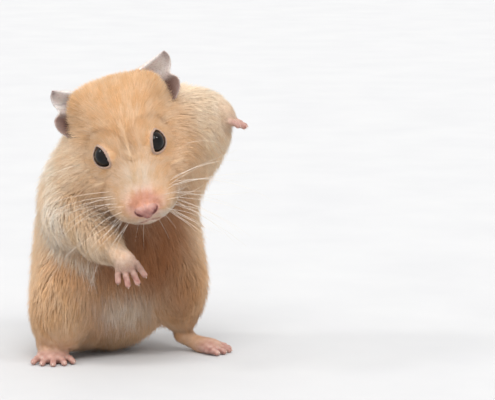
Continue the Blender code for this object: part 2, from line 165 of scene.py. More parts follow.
def head_parts():
    local = [Egg((0, 12.5, 0.8), (HALF_SKULL, SKULL_LONG, SKULL_TALL), k=1)]
    local += both(lambda s: Egg((s * 10.0, 16.0, 7.2), (6.0, 7.0, 7.0), k=6))  # ear bases
    local += both(lambda s: Egg((s * 9.2, 12.8, -6.0), (9.4, 11.0, 10.5), k=6))  # cheeks
    local += both(lambda s: Egg((s * 8.4, 3.2, -9.0), (7.9, 8.8, 7.6), k=7))  # jowls
    local += both(lambda s: Egg((s * 5.8, -4.2, -9.2), (5.8, 8.6, 5.6), k=6))  # cheek pouch to whisker pad
    local += [Egg((-13.0, 11.0, -12.0), (8.4, 9.0, 10.0), k=6)]  # loose skin gathered on the low side
    local += [Egg((-15.0, 3.6, -11.4), (8.0, 8.6, 8.6), k=7)]
    local += [Limb((0, 1.0, -4.0), (0, -11.2, -7.8), 8.6, 6.2, k=9)]  # snout
    local += both(lambda s: Egg((s * 4.1, -12.2, -9.0), (4.9, 5.8, 4.6), k=5))  # whisker pads
    local += [Egg((0, -9.4, -12.8), (5.2, 7.0, 3.8), k=4)]  # lower jaw
    local += [Egg((0, -18.5, -7.7), (2.7, 1.8, 2.0), k=2.2)]  # nose pad
    return [part.moved(HEAD_AT, HEAD_AXES) for part in local]


# Pinna in the head's frame, as rows from its lobe up to its tip: the buried root, then the free
# margin, each (lateral, height, depth) in axes tipped back by the head's own pitch.
EAR_ROWS = (
    ((11.0, 8.5, 7.0), (16.6, 9.9, 7.2)),  # below the lobe
    ((10.0, 11.0, 9.0), (18.6, 12.6, 6.4)),  # lobe
    ((9.5, 13.5, 10.0), (18.9, 15.4, 7.2)),
    ((9.0, 16.0, 10.5), (17.2, 17.7, 9.6)),  # notch
    ((8.6, 18.2, 10.5), (18.1, 20.4, 9.2)),
    ((8.4, 19.8, 10.0), (18.1, 22.6, 8.6)),
    ((8.6, 21.0, 9.0), (17.2, 24.2, 8.2)),  # tip
)
EAR_CUP = (1.5, 3.4, 4.2, 3.6, 3.8, 3.0, 0.9)  # hollow of each row
EAR_LIFT = {1: 1.1, -1: -1.2}
EAR_THICK = 0.8


def ear_sheet(side, across=9, between=3, start=0.0):
    """Grid of points over one pinna, in world axes; a start below 0 carries it on into the head."""
    rows, cups = [], []
    n = len(EAR_ROWS)
    for i in range((n - 1) * between + 1):
        u = i / between
        j = min(int(u), n - 2)
        t = u - j
        take = [max(0, min(n - 1, j + d)) for d in (-1, 0, 1, 2)]
        w = (
            -0.5 * t + t * t - 0.5 * t**3,
            1 - 2.5 * t * t + 1.5 * t**3,
            0.5 * t + 2 * t * t - 1.5 * t**3,
            -0.5 * t * t + 0.5 * t**3,
        )
        root = sum(wi * np.array(EAR_ROWS[k][0]) for wi, k in zip(w, take))
        edge = sum(wi * np.array(EAR_ROWS[k][1]) for wi, k in zip(w, take))
        cup = sum(wi * EAR_CUP[k] for wi, k in zip(w, take))
        s = np.linspace(start, 1, across)[:, None]
        line = root + (edge - root) * s
        line[:, 2] += cup * 4 * np.maximum(s * (1 - s), 0)[:, 0]
        rows.append(line)
    g = np.array(rows)
    g[..., 1] += EAR_LIFT[side]
    sp, cp = math.sin(math.radians(HEAD_PITCH)), math.cos(math.radians(HEAD_PITCH))
    local = np.stack(
        [side * g[..., 0], g[..., 1] * sp + g[..., 2] * cp, g[..., 1] * cp - g[..., 2] * sp], axis=-1
    )
    return HEAD_AT + local @ HEAD_AXES.T


def trunk_parts():
    return [
        Egg((-5, 11, 19), (20.5, 19.0, 20.0), k=1),  # rump
        Egg((-1.2, 6, 35.5), (24.6, 20.0, 21.5), k=9),  # belly
        Egg((2.5, 5, 52), (21.0, 18.0, 19.0), k=9),  # chest
        Egg((16, 9, 65), (17.0, 14.5, 16.0), k=9),  # withers and left shoulder
        Egg((-9, 4, 50), (14.0, 13.0, 16.0), k=6),  # right shoulder
    ]


def neck_parts():
    return [Limb((8, 4, 62), (3, -2, 62), 16.0, 14.5, k=8)]


def hind_right_parts():
    return [
        Egg((-14.6, 1, 20), (11.2, 14.0, 18.0), k=1),  # thigh
        Egg((-17.0, -5, 17), (8.6, 9.0, 12.0), k=6),  # knee
        Limb((-18.8, -3, 13), (-20.4, -2.5, 5.0), 6.6, 4.0, k=4),  # shank
        Limb((-20.4, 1.0, 2.8), (-19.7, -6.0, 2.0), 3.0, 2.6, k=2.5),  # heel to instep
    ]


def hind_left_parts():
    return [
        Egg((15.0, 7, 26.5), (11.0, 13.0, 17.5), k=1),
        Egg((17.5, 4, 20), (8.6, 9.0, 10.5), k=6),
        Limb((18.5, 7, 13), (18.6, 8.8, 6.6), 5.6, 3.0, k=4),
        Limb((18.4, 9.3, 4.6), (24.0, 7.6, 2.0), 2.6, 2.1, k=2.0),
        Limb((24.0, 7.6, 2.0), (27.5, 6.6, 1.8), 2.1, 2.0, k=2.0),
    ]


def toes(root, ahead, across, spread, lengths, radius, rise, claw):
    """Digits fanned from the ball of a paw: knuckle, middle joint and pad, each with its claw."""
    made = []
    n = len(lengths)
    for i, length in enumerate(lengths):
        s = i - (n - 1) / 2
        way = unit(ahead + across * s * spread)
        base = root + across * s * radius * 2.15 + ahead * (0.6 - 0.35 * abs(s))
        knuckle = base + way * length * 0.5 + np.array([0, 0, rise])
        tip = base + way * length
        made += [Limb(base, knuckle, radius, radius * 0.92, k=0.8)]
        made += [Limb(knuckle, tip, radius * 0.92, radius * 0.95, k=0.5)]
        if claw:
            root_of_claw = tip + way * radius * 0.55 + np.array([0, 0, 0.25])
            made += [Limb(root_of_claw, root_of_claw + way * 1.25 - np.array([0, 0, 0.2]), 0.42, 0.3, k=0.2)]
    return made


def paw_hind_right_parts(claw=True):
    root, ahead = np.array([-18.9, -7.4, 1.25]), unit((0.05, -1, -0.07))
    return [Egg((-19.2, -6.6, 1.7), (4.9, 4.2, 2.2), k=1)] + toes(
        root, ahead, unit((1, 0.05, 0)), 0.26, [3.9, 4.8, 5.2, 4.8, 3.7], 0.92, 0.35, claw
    )


def paw_hind_left_parts(claw=True):
    root, ahead = np.array([27.0, 6.6, 1.25]), unit((1, -0.22, -0.07))
    return [Egg((26.6, 6.8, 1.7), (3.6, 4.4, 2.1), k=1)] + toes(
        root, ahead, unit((0.22, 1, 0)), 0.2, [3.6, 4.6, 5.1, 4.7, 3.5], 0.9, 0.35, claw
    )


def fore_right_parts():
    return [
        Limb((-14.5, -1, 48.5), (-13.3, -8, 44), 8.8, 8.4, k=1),  # upper arm
        Limb((-13.0, -9.5, 43.0), (-3.5, -17.5, 37.0), 8.0, 5.4, k=4),  # forearm
        Limb((-3.5, -17.5, 37.0), (2.2, -20.5, 33.6), 5.6, 3.0, k=3),  # wrist
    ]


def paw_fore_right_parts(claw=True):
    ahead, across = unit((0.30, -0.22, -0.93)), unit((0.93, -0.1, 0.32))
    root = np.array([3.6, -21.3, 31.6])
    return [Egg((3.2, -21.0, 32.4), (3.1, 1.9, 3.0), k=1)] + toes(
        root, ahead, across, 0.2, [3.6, 5.0, 5.2, 4.2], 0.88, 0.0, claw
    )


def fore_left_parts():
    return [
        Limb((17, 7, 67), (24.0, 6, 70.0), 12.0, 8.8, k=1),
        Limb((24.0, 6, 70.0), (29.3, 5.0, 72.4), 8.4, 4.6, k=4),
        Limb((29.3, 5.0, 71.8), (31.0, 4.8, 71.4), 3.6, 2.6, k=2),
    ]


def paw_fore_left_parts(claw=True):
    ahead, across = unit((0.93, -0.05, -0.35)), unit((0.05, 1, 0.0))
    root = np.array([32.2, 4.6, 70.4])
    return [Egg((31.6, 4.8, 71.0), (2.9, 3.1, 1.8), k=1)] + toes(
        root, ahead, across, 0.2, [3.6, 4.8, 5.0, 4.0], 0.86, 0.3, claw
    )


def tail_parts():
    return [
        Limb((-2, 26, 5.5), (-2.5, 35.0, 2.2), 3.2, 1.5, k=1),
        Limb((-2, 14, 9.0), (-2, 26, 5.5), 3.4, 3.2, k=1),  # root, inside the rump
    ]


def groups(claw):
    """Name, masses and fillet to what is already there, for each part of the body."""
    return (
        ("trunk", trunk_parts(), 1.0),
        ("neck", neck_parts(), 8.0),
        ("head", head_parts(), 4.0),
        ("hind_right", hind_right_parts(), 5.0),
        ("hind_left", hind_left_parts(), 5.0),
        ("fore_right", fore_right_parts(), 4.0),
        ("fore_left", fore_left_parts(), 5.0),
        ("tail", tail_parts(), 2.0),
        ("paw_hind_right", paw_hind_right_parts(claw), 1.5),
        ("paw_hind_left", paw_hind_left_parts(claw), 1.5),
        ("paw_fore_right", paw_fore_right_parts(claw), 1.5),
        ("paw_fore_left", paw_fore_left_parts(claw), 1.5),
    )


GROUPS = groups(CLAWS_GROWN)


def all_fields(p):
    """Field of each group, one column each, and the whole animal's field."""
    columns = np.stack([group_field(parts, p) for _, parts, _ in GROUPS], axis=1)
    whole = columns[:, 0]
    for i in range(1, len(GROUPS)):
        whole = smooth_min(whole, columns[:, i], GROUPS[i][2])
    return columns, whole


def furred_field(p):
    """The animal without its bare paws."""
    columns = [(parts, k) for name, parts, k in GROUPS if not name.startswith("paw")]
    whole = group_field(columns[0][0], p)
    for parts, k in columns[1:]:
        whole = smooth_min(whole, group_field(parts, p), k)
    return whole


def coat_field(p):
    return all_fields(p)[1]


def gradient(field, p, h=0.05):
    g = np.empty_like(p)
    for i in range(3):
        step = np.zeros(3)
        step[i] = h
        g[:, i] = (field(p + step) - field(p - step)) / (2 * h)
    return g


def settle(field, p, rounds=4):
    """Moves points onto the zero level of a field."""
    for _ in range(rounds):
        f = field(p)
        g = gradient(field, p)
        p = p - np.clip(f, -1.5, 1.5)[:, None] * g / np.maximum((g * g).sum(1), 0.05)[:, None]
    return p

# ---------------------------------------------------------------- frame
MM = 0.001
HOME = np.array([6.1, 4.1, 0.0])  # the design's millimetres to the row frame
rng = np.random.default_rng(20617)


def to_row(p):
    return (np.asarray(p, float) - HOME) * MM


HEAD_BACK = np.linalg.inv(HEAD_AXES)


def in_head(p):
    """Points in the head's own frame: lateral, back, up."""
    return (p - HEAD_AT) @ HEAD_AXES


# ---------------------------------------------------------------- depth of the coat and its lie
EYES = {
    side: HEAD_AT + HEAD_AXES @ (np.array(EYE_AT) * (side, 1, 1)) for side in (1, -1)
}
NOSE = HEAD_AT + HEAD_AXES @ np.array(NOSE_AT)
INDEX = {name: i for i, (name, _, _) in enumerate(GROUPS)}


PAWS = [i for i, (name, _, _) in enumerate(GROUPS) if name.startswith("paw")]
EYE_OUT = {
    side: HEAD_AXES @ unit((0.72 * side, -0.53, 0.44)) for side in (1, -1)
}  # where each eye looks
SEATS = {side: EYES[side] - EYE_OUT[side] * 0.55 for side in (1, -1)}  # middle of each eyeball


def group_weights(columns, soft=2.0):
    """How much each group owns a point, from 0 to 1."""
    near = columns - columns.min(axis=1, keepdims=True)
    w = np.exp(-near / soft)
    return w / w.sum(axis=1, keepdims=True)


def by_ears(h):
    """1 on the crown beside the roots of the ears, in the head's frame."""
    off = (np.abs(h[:, 0]) - 12.0) / 5.5, (h[:, 1] - 15.0) / 6.5, (h[:, 2] - 11.5) / 6.0
    return np.exp(-(off[0] ** 2 + off[1] ** 2 + off[2] ** 2))


def coat_depth(p, columns):
    """Depth from the tips of the coat down to the skin, mm."""
    w = group_weights(columns)
    h = in_head(p)
    along = -h[:, 1]  # towards the nose
    face = 3.6 - 2.7 * smooth_step(along, 1.0, 13.0) - 0.5 * smooth_step(along, 12.0, 17.0)
    face = face + 0.9 * smooth_step(-h[:, 2], 4.0, 10.0) * smooth_step(-along, -4.0, 4.0)
    crown = smooth_step(h[:, 2], 0.0, 8.0) * smooth_step(-along, -2.0, 5.0)
    face = face * (1 - crown) + 2.6 * crown
    face = face + 1.7 * by_ears(h)
    face = np.maximum(face, 0.35)
    for eye in EYES.values():
        near = smooth_step(np.linalg.norm(p - eye, axis=1), 3.6, 8.5)
        face = np.minimum(face, 0.5 + (face - 0.5).clip(0) * near)
    depth = np.zeros(len(p))
    fixed = {"trunk": 4.8, "neck": 4.6, "tail": 0.25}
    for name, value in fixed.items():
        depth += w[:, INDEX[name]] * value
    depth += w[:, INDEX["head"]] * face
    for name in ("hind_right", "hind_left"):
        leg = 0.25 + 4.3 * smooth_step(p[:, 2], 4.0, 17.0)
        depth += w[:, INDEX[name]] * leg
    wrist = np.array([2.2, -20.5, 33.6])
    arm = 0.3 + 3.7 * smooth_step(np.linalg.norm(p - wrist, axis=1), 1.5, 11.0)
    depth += w[:, INDEX["fore_right"]] * arm
    wrist = np.array([31.0, 4.8, 71.4])
    arm = 0.3 + 3.7 * smooth_step(np.linalg.norm(p - wrist, axis=1), 2.5, 12.0)
    depth += w[:, INDEX["fore_left"]] * arm
    bare = group_weights(columns, 0.7)[:, PAWS].sum(1)
    return depth * (1 - bare)


def skin_field(p):
    columns, whole = all_fields(p)
    return whole + coat_depth(p, columns)


# ---------------------------------------------------------------- mesh helpers
def mesh_from(name, verts, tris, smooth=True):
    """Mesh from design millimetres and triangles."""
    me = bpy.data.meshes.new(name)
    verts, tris = np.ascontiguousarray(verts, np.float32), np.ascontiguousarray(tris, np.int32)
    me.vertices.add(len(verts))
    me.vertices.foreach_set("co", verts.ravel())
    me.loops.add(tris.size)
    me.loops.foreach_set("vertex_index", tris.ravel())
    me.polygons.add(len(tris))
    me.polygons.foreach_set("loop_start", np.arange(0, tris.size, 3, dtype=np.int32))
    me.update(calc_edges=True)
    if smooth:
        me.shade_smooth()
    return me


def new_object(name, mesh):
    ob = bpy.data.objects.new(name, mesh)
    bpy.context.scene.collection.objects.link(ob)
    return ob


def points(ob):
    co = np.empty(len(ob.data.vertices) * 3, np.float32)
    ob.data.vertices.foreach_get("co", co)
    return co.reshape(-1, 3).astype(float)


def put_points(ob, p):
    ob.data.vertices.foreach_set("co", np.ascontiguousarray(p, np.float32).ravel())
    ob.data.update()


def triangles(me):
    me.calc_loop_triangles()
    t = np.empty(len(me.loop_triangles) * 3, np.int32)
    me.loop_triangles.foreach_get("vertices", t)
    return t.reshape(-1, 3)


def apply_modifiers(ob):
    graph = bpy.context.evaluated_depsgraph_get()
    mesh = bpy.data.meshes.new_from_object(ob.evaluated_get(graph))
    old = ob.data
    ob.modifiers.clear()
    ob.data = mesh
    bpy.data.meshes.remove(old)


def remesh(ob, size):
    m = ob.modifiers.new("even", "REMESH")
    m.mode = "VOXEL"
    m.voxel_size = size
    apply_modifiers(ob)


def vertex_normals(verts, tris):
    n = np.zeros_like(verts)
    a, b, c = verts[tris[:, 0]], verts[tris[:, 1]], verts[tris[:, 2]]
    f = np.cross(b - a, c - a)
    for i in range(3):
        np.add.at(n, tris[:, i], f)
    return n / np.maximum(np.linalg.norm(n, axis=1, keepdims=True), 1e-12)


def set_colour(me, name, rgb):
    a = me.attributes.new(name, "FLOAT_COLOR", "POINT")
    data = np.ones((len(me.vertices), 4), np.float32)
    data[:, :3] = rgb
    a.data.foreach_set("color", data.ravel())


def set_value(me, name, values):
    a = me.attributes.new(name, "FLOAT", "POINT")
    a.data.foreach_set("value", np.ascontiguousarray(values, np.float32))


def srgb(r, g, b):
    """Linear colour of an 8-bit sRGB one."""
    c = np.array([r, g, b]) / 255.0
    return np.where(c <= 0.04045, c / 12.92, ((c + 0.055) / 1.055) ** 2.4)


def wave_noise(p, scale, seed):
    """Smooth pseudo-random field in -1..1, a few crossed sine waves."""
    r = np.random.default_rng(seed)
    total = np.zeros(len(p))
    for _ in range(6):
        k = r.normal(size=3)
        k /= np.linalg.norm(k)
        total += np.sin((p @ k) * (2 * math.pi / scale) * r.uniform(0.7, 1.5) + r.uniform(0, 6.28))
    return total / 3.2


# ---------------------------------------------------------------- face details below the coat
EYE_LONG = {}  # from the eye towards the nose, in the plane of the lids
for side in (1, -1):
    way = NOSE - EYES[side]
    way = way - EYE_OUT[side] * (way @ EYE_OUT[side])
    EYE_LONG[side] = unit(way)
LID_LONG, LID_WIDE, LID_TUBE, LID_SHELL = 3.05, 2.6, 0.28, 0.42


def eye_frame(p, side):
    """Points about an eyeball: towards the nose, across, out, and how far beyond the opening of the lids."""
    n, a = EYE_OUT[side], EYE_LONG[side]
    q = p - SEATS[side]
    x, y, z = q @ a, q @ np.cross(n, a), q @ n
    angle = np.arctan2(y / LID_WIDE, x / LID_LONG)
    reach = np.hypot(LID_LONG * np.cos(angle), LID_WIDE * np.sin(angle))
    # the corners of the lids are drawn out a little
    reach = reach + 0.35 * np.abs(np.cos(angle)) ** 6
    return x, y, z, np.hypot(x, y) - reach, reach


def smooth_max(a, b, k):
    return -smooth_min(-a, -b, k)


def lid_field(p, side):
    """Rim of the lids: a thin ring hugging the eyeball."""
    x, y, z, beyond, reach = eye_frame(p, side)
    high = np.sqrt(np.maximum((EYE_RADIUS + 0.2) ** 2 - reach**2, 0.2))
    return np.hypot(beyond - 0.24, z - high - 0.06) - LID_TUBE


def with_lids(f, p, side):
    """The head's field with lids over the eyeball and the opening between them."""
    x, y, z, beyond, reach = eye_frame(p, side)
    shell = np.linalg.norm(p - SEATS[side], axis=1) - (EYE_RADIUS + LID_SHELL)
    high = np.sqrt(np.maximum((EYE_RADIUS + 0.3) ** 2 - reach**2, 0.2))
    slope = np.maximum((beyond - 1.15 - 0.9 * (z - high)) / 1.35, 0.4 - z)
    f = smooth_max(f, -slope, 1.2)
    f = smooth_min(f, shell, 0.9)
    opening = np.maximum(beyond, 0.6 - z)
    f = smooth_max(f, -opening, 0.3)
    return smooth_min(f, lid_field(p, side), 0.6)


def head_limb(a, b, ra, rb):
    return Limb(a, b, ra, rb).moved(HEAD_AT, HEAD_AXES)


NOSE_LOBES = [Egg((side * 1.45, -18.9, -7.75), (1.75, 1.65, 1.5)).moved(HEAD_AT, HEAD_AXES) for side in (1, -1)]
NOSE_LOBES.append(Egg((0, -19.0, -9.0), (1.5, 1.5, 1.3)).moved(HEAD_AT, HEAD_AXES))
GROOVES = (
    [head_limb((s * 1.55, -20.9, -8.55), (s * 2.3, -20.1, -7.95), 0.36, 0.5) for s in (1, -1)],  # nostrils
    [head_limb((s * 2.3, -20.1, -7.95), (s * 3.2, -18.9, -7.5), 0.42, 0.16) for s in (1, -1)],
    [head_limb((0, -20.7, -7.0), (0, -20.9, -9.0), 0.12, 0.22), head_limb((0, -20.9, -9.0), (0, -19.0, -12.0), 0.26, 0.34)],  # split of nose and lip
    [head_limb((0, -18.7, -12.1), (s * 2.6, -17.2, -13.2), 0.34, 0.32) for s in (1, -1)],  # mouth
    [head_limb((s * 2.6, -17.2, -13.2), (s * 5.0, -13.6, -13.6), 0.32, 0.2) for s in (1, -1)],
)


def skin_detail_field(p):
    f = skin_field(p)
    for side, eye in EYES.items():
        near = np.linalg.norm(p - eye, axis=1) < 10
        if near.any():
            f[near] = with_lids(f[near], p[near], side)
    near = np.linalg.norm(p - NOSE, axis=1) < 11
    if near.any():
        q = p[near]
        g = f[near]
        for lobe in NOSE_LOBES:
            g = smooth_min(g, lobe.field(q), 0.5)
        for row in GROOVES:
            for cut in row:
                g = smooth_max(g, -cut.field(q), 0.25)
        f[near] = g
    return f


# ---------------------------------------------------------------- surface from a field
def surface_nets(field, low, high, cell, sub=4, band=5.0):
    """Quads over a field's zero level, from a grid filled finely only near it."""
    coarse = cell * sub
    n = np.ceil((np.array(high) - np.array(low)) / coarse).astype(int)
    axes = [low[i] + coarse * np.arange(n[i] + 1) for i in range(3)]
    rough = field(np.stack(np.meshgrid(*axes, indexing="ij"), -1).reshape(-1, 3)).reshape(n + 1)
    corners = [
        rough[a : a + n[0], b : b + n[1], c : c + n[2]] for a in (0, 1) for b in (0, 1) for c in (0, 1)
    ]
    close = np.min(np.abs(corners), axis=0) < band
    full = np.where(rough[:-1, :-1, :-1] < 0, -9.0, 9.0)
    for i in range(3):
        full = np.repeat(full, sub, axis=i)
    cells = np.argwhere(close) * sub
    steps = np.stack(np.meshgrid(*[np.arange(sub)] * 3, indexing="ij"), -1).reshape(-1, 3)
    fine = (cells[:, None, :] + steps[None]).reshape(-1, 3)
    full[fine[:, 0], fine[:, 1], fine[:, 2]] = field(np.array(low) + fine * cell)
    shape = full.shape
    total = np.zeros((int(np.prod(shape)), 4), np.float32)
    quads = []
    for a in range(3):
        b, c = (a + 1) % 3, (a + 2) % 3
        first = full[tuple(slice(None, -1) if i == a else slice(None) for i in range(3))]
        second = full[tuple(slice(1, None) if i == a else slice(None) for i in range(3))]
        at = np.argwhere((first < 0) != (second < 0))
        f0 = first[at[:, 0], at[:, 1], at[:, 2]]
        f1 = second[at[:, 0], at[:, 1], at[:, 2]]
        spot = at.astype(float)
        spot[:, a] += f0 / (f0 - f1)
        ring = []
        for db, dc in ((-1, -1), (0, -1), (0, 0), (-1, 0)):
            cell_at = at.copy()
            cell_at[:, b] += db
            cell_at[:, c] += dc
            flat = np.ravel_multi_index(cell_at.T, shape)
            ring.append(flat)
            for i in range(3):
                total[:, i] += np.bincount(flat, spot[:, i], len(total)).astype(np.float32)
            total[:, 3] += np.bincount(flat, minlength=len(total)).astype(np.float32)
        ring = np.stack(ring, 1)
        quads.append(np.where((f0 < 0)[:, None], ring, ring[:, ::-1]))
    quads = np.concatenate(quads)
    used, index = np.unique(quads, return_inverse=True)
    verts = np.array(low) + total[used, :3] / total[used, 3:] * cell
    return verts, index.reshape(-1, 4)


def quad_mesh(name, verts, quads):
    me = bpy.data.meshes.new(name)
    me.vertices.add(len(verts))
    me.vertices.foreach_set("co", np.ascontiguousarray(verts, np.float32).ravel())
    me.loops.add(quads.size)
    me.loops.foreach_set("vertex_index", np.ascontiguousarray(quads, np.int32).ravel())
    me.polygons.add(len(quads))
    me.polygons.foreach_set("loop_start", np.arange(0, quads.size, 4, dtype=np.int32))
    me.update(calc_edges=True)
    me.shade_smooth()
    return me


# ---------------------------------------------------------------- skin
def keep_largest(me):
    """Drops islands other than the largest."""
    bm = bmesh.new()
    bm.from_mesh(me)
    left, best = set(bm.verts), []
    while left:
        seed = left.pop()
        island, queue = [seed], [seed]
        while queue:
            for e in queue.pop().link_edges:
                for w in e.verts:
                    if w in left:
                        left.discard(w)
                        island.append(w)
                        queue.append(w)
        if len(island) > len(best):
            best = island
    keep = set(best)
    bmesh.ops.delete(bm, geom=[v for v in bm.verts if v not in keep], context="VERTS")
    bm.to_mesh(me)
    bm.free()


def wants_detail(p):
    """Where the bare skin shows: round the eyes, on the nose and lips, and on the paws."""
    near = np.zeros(len(p), bool)
    for eye in EYES.values():
        near |= np.linalg.norm(p - eye, axis=1) < 5.6
    near |= np.linalg.norm(p - NOSE, axis=1) < 5.0
    h = in_head(p)
    near |= (h[:, 1] < -13.5) & (h[:, 2] < -9) & (np.abs(h[:, 0]) < 5)
    for name, parts, _ in GROUPS:
        if name.startswith("paw"):
            near |= group_field(parts, p) < 0.15
    return near


def ear_solid(side):
    """One pinna as a thin closed sheet, its root carried down to the skin below the coat."""
    g = ear_sheet(side, across=45, between=10, start=-0.42)
    rows, cols = g.shape[:2]
    du = np.gradient(g, axis=0)
    dv = np.gradient(g, axis=1)
    n = np.cross(du, dv)
    n /= np.linalg.norm(n, axis=2, keepdims=True)
    s = np.linspace(-0.42, 1, cols)
    thick = 0.16 + 0.3 * smooth_step(1 - s, 0.0, 0.9)[None, :, None] * np.ones((rows, 1, 1))
    front, back = g + n * thick, g - n * thick
    verts = np.concatenate([front.reshape(-1, 3), back.reshape(-1, 3)])
    at = np.arange(rows * cols).reshape(rows, cols)
    a, b, c, d = at[:-1, :-1], at[1:, :-1], at[1:, 1:], at[:-1, 1:]
    faces = [np.stack([a, b, c, d], -1).reshape(-1, 4)]
    faces += [np.stack([d, c, b, a], -1).reshape(-1, 4) + rows * cols]
    loop = np.concatenate([at[0, :], at[1:, -1], at[-1, ::-1][1:], at[::-1, 0][1:-1]])
    after = np.roll(loop, -1)
    faces += [np.stack([loop, after, after + rows * cols, loop + rows * cols], -1)]
    me = quad_mesh("ear", verts, np.concatenate(faces))
    bm = bmesh.new()
    bm.from_mesh(me)
    bmesh.ops.recalc_face_normals(bm, faces=bm.faces[:])
    bm.to_mesh(me)
    bm.free()
    return me


def make_skin():
    cell = 0.5
    low, high = np.array([-33.0, -42.0, -2.5]), np.array([43.0, 40.0, 97.0])
    verts, quads = surface_nets(skin_detail_field, low, high, cell)
    me = quad_mesh("skin", verts, quads)
    keep_largest(me)
    ob = new_object("skin", me)
    put_points(ob, settle(skin_detail_field, points(ob), 2))
    bm = bmesh.new()
    bm.from_mesh(ob.data)
    bm.verts.ensure_lookup_table()
    fine = wants_detail(np.array([v.co for v in bm.verts], float))
    edges = [e for e in bm.edges if fine[e.verts[0].index] and fine[e.verts[1].index]]
    bmesh.ops.subdivide_edges(bm, edges=edges, cuts=1, use_grid_fill=True)
    bmesh.ops.triangulate(bm, faces=[f for f in bm.faces if len(f.verts) > 4])
    bm.to_mesh(ob.data)
    bm.free()
    p = points(ob)
    near = wants_detail(p)
    p[near] = settle(skin_detail_field, p[near], 2)
    put_points(ob, p)
    # even out the fine mesh of the lids
    bm = bmesh.new()
    bm.from_mesh(ob.data)
    about = np.min([np.linalg.norm(p - eye, axis=1) for eye in EYES.values()], axis=0) < 5.2
    lids = [v for v, chosen in zip(bm.verts, about) if chosen]
    for _ in range(3):
        bmesh.ops.smooth_vert(bm, verts=lids, factor=0.5, use_axis_x=True, use_axis_y=True, use_axis_z=True)
    bm.to_mesh(ob.data)
    bm.free()
    for side in (1, -1):
        ear = new_object("ear_cut", ear_solid(side))
        m = ob.modifiers.new("join", "BOOLEAN")
        m.operation, m.solver, m.object = "UNION", "MANIFOLD", ear
        before = len(ob.data.vertices)
        apply_modifiers(ob)
        print("ear joined", before, len(ob.data.vertices))
        bpy.data.objects.remove(ear)
    p = points(ob)
    p[:, 2] = np.maximum(p[:, 2], 0.0)
    put_points(ob, p)
    ob.data.shade_smooth()
    return ob


# ---------------------------------------------------------------- lie of the coat
ARM_WAY = {
    "fore_right": unit(np.array([2.2, -20.5, 33.6]) - np.array([-14, -4, 48.0])),
    "fore_left": unit((1.0, -0.05, -0.1)),
}


class Guides:
    """The coat's outer level, depth and lie on a coarse grid, read back between its nodes."""

    def __init__(self):
        self.step = 1.6
        self.low = np.array([-46.0, -56.0, -5.0])
        self.n = np.ceil((np.array([56.0, 54.0, 106.0]) - self.low) / self.step).astype(int) + 1
        axes = [self.low[i] + self.step * np.arange(self.n[i]) for i in range(3)]
        p = np.stack(np.meshgrid(*axes, indexing="ij"), -1).reshape(-1, 3)
        columns, whole = all_fields(p)
        w = group_weights(columns, 3.0)
        depth = coat_depth(p, columns)
        out = np.stack(np.gradient(whole.reshape(self.n), self.step), -1).reshape(-1, 3)
        flow = self.lie(p, group_weights(columns, 5.0))
        self.data = np.concatenate(
            [whole[:, None], depth[:, None], out, flow, w], axis=1
        ).astype(np.float32).reshape(*self.n, -1)

    def lie(self, p, w):
        h = in_head(p)
        radial = h - np.array([0, -22.0, -8.0])
        radial /= np.maximum(np.linalg.norm(radial, axis=1, keepdims=True), 1e-6)
        head = radial @ HEAD_AXES.T
        # the cheeks' coat turns down behind, the crown's runs back to the nape
        fall = smooth_step(h[:, 1], -5.0, 13.0) * smooth_step(-h[:, 2], -6.0, 5.0)
        fall = fall * smooth_step(-head[:, 2], -0.55, 0.05)
        head = head + fall[:, None] * np.array([0.0, 0.1, -1.5])
        behind = smooth_step(h[:, 1], 15.0, 26.0)[:, None]
        head = head * (1 - behind) + behind * np.array([0.0, 0.35, -1.0])
        flow = w[:, INDEX["head"], None] * head
        front = smooth_step(-p[:, 1], -2.0, 12.0)
        side = np.clip((p[:, 0] - 1.0) / 16.0, -1, 1)
        body = np.stack([0.35 * side * front, 0.3 - 0.45 * front, -np.ones(len(p))], -1)
        for name in ("trunk", "neck"):
            flow += w[:, INDEX[name], None] * body
        for name, way in (
            ("hind_right", (-0.12, -0.25, -1.0)),
            ("hind_left", (0.3, -0.05, -1.0)),
            ("tail", (0.0, 0.95, -0.3)),
        ):
            flow += w[:, INDEX[name], None] * np.array(way)
        for name, way in ARM_WAY.items():
            flow += w[:, INDEX[name], None] * (way + np.array([0, 0, -0.35]))
        for i, way in zip(PAWS, ((0, -1, 0.0), (1, 0, 0.0), (0.3, -0.2, -1), (1, 0, -0.3))):
            flow += w[:, i, None] * np.array(way, float)
        flow = flow / (np.linalg.norm(flow, axis=1, keepdims=True) + 0.1)
        flow = flow.reshape(*self.n, 3)
        for _ in range(5):
            for axis in range(3):
                flow = 0.5 * flow + 0.25 * (np.roll(flow, 1, axis) + np.roll(flow, -1, axis))
        flow = flow.reshape(-1, 3)
        flow = flow / (np.linalg.norm(flow, axis=1, keepdims=True) + 0.15)
        sway = np.stack([wave_noise(p, 15.0, 40 + i) for i in range(3)], -1)
        tuft = np.stack([wave_noise(p, 6.0, 50 + i) for i in range(3)], -1)
        furry = 1 - 0.75 * w[:, INDEX["head"], None]
        return flow + furry * (0.16 * sway + 0.26 * tuft)

    def read(self, p):
        """Value of every channel at points."""
        q = (p - self.low) / self.step
        i = np.clip(np.floor(q).astype(int), 0, self.n - 2)
        t = np.clip(q - i, 0, 1).astype(np.float32)
        total = 0
        for a in (0, 1):
            for b in (0, 1):
                for c in (0, 1):
                    weight = (
                        (t[:, 0] if a else 1 - t[:, 0])
                        * (t[:, 1] if b else 1 - t[:, 1])
                        * (t[:, 2] if c else 1 - t[:, 2])
                    )
                    total = total + weight[:, None] * self.data[i[:, 0] + a, i[:, 1] + b, i[:, 2] + c]
        return total


def split_guides(g):
    out = g[:, 2:5] / np.maximum(np.linalg.norm(g[:, 2:5], axis=1, keepdims=True), 1e-6)
    return g[:, 0], g[:, 1], out, g[:, 5:8], g[:, 8:]


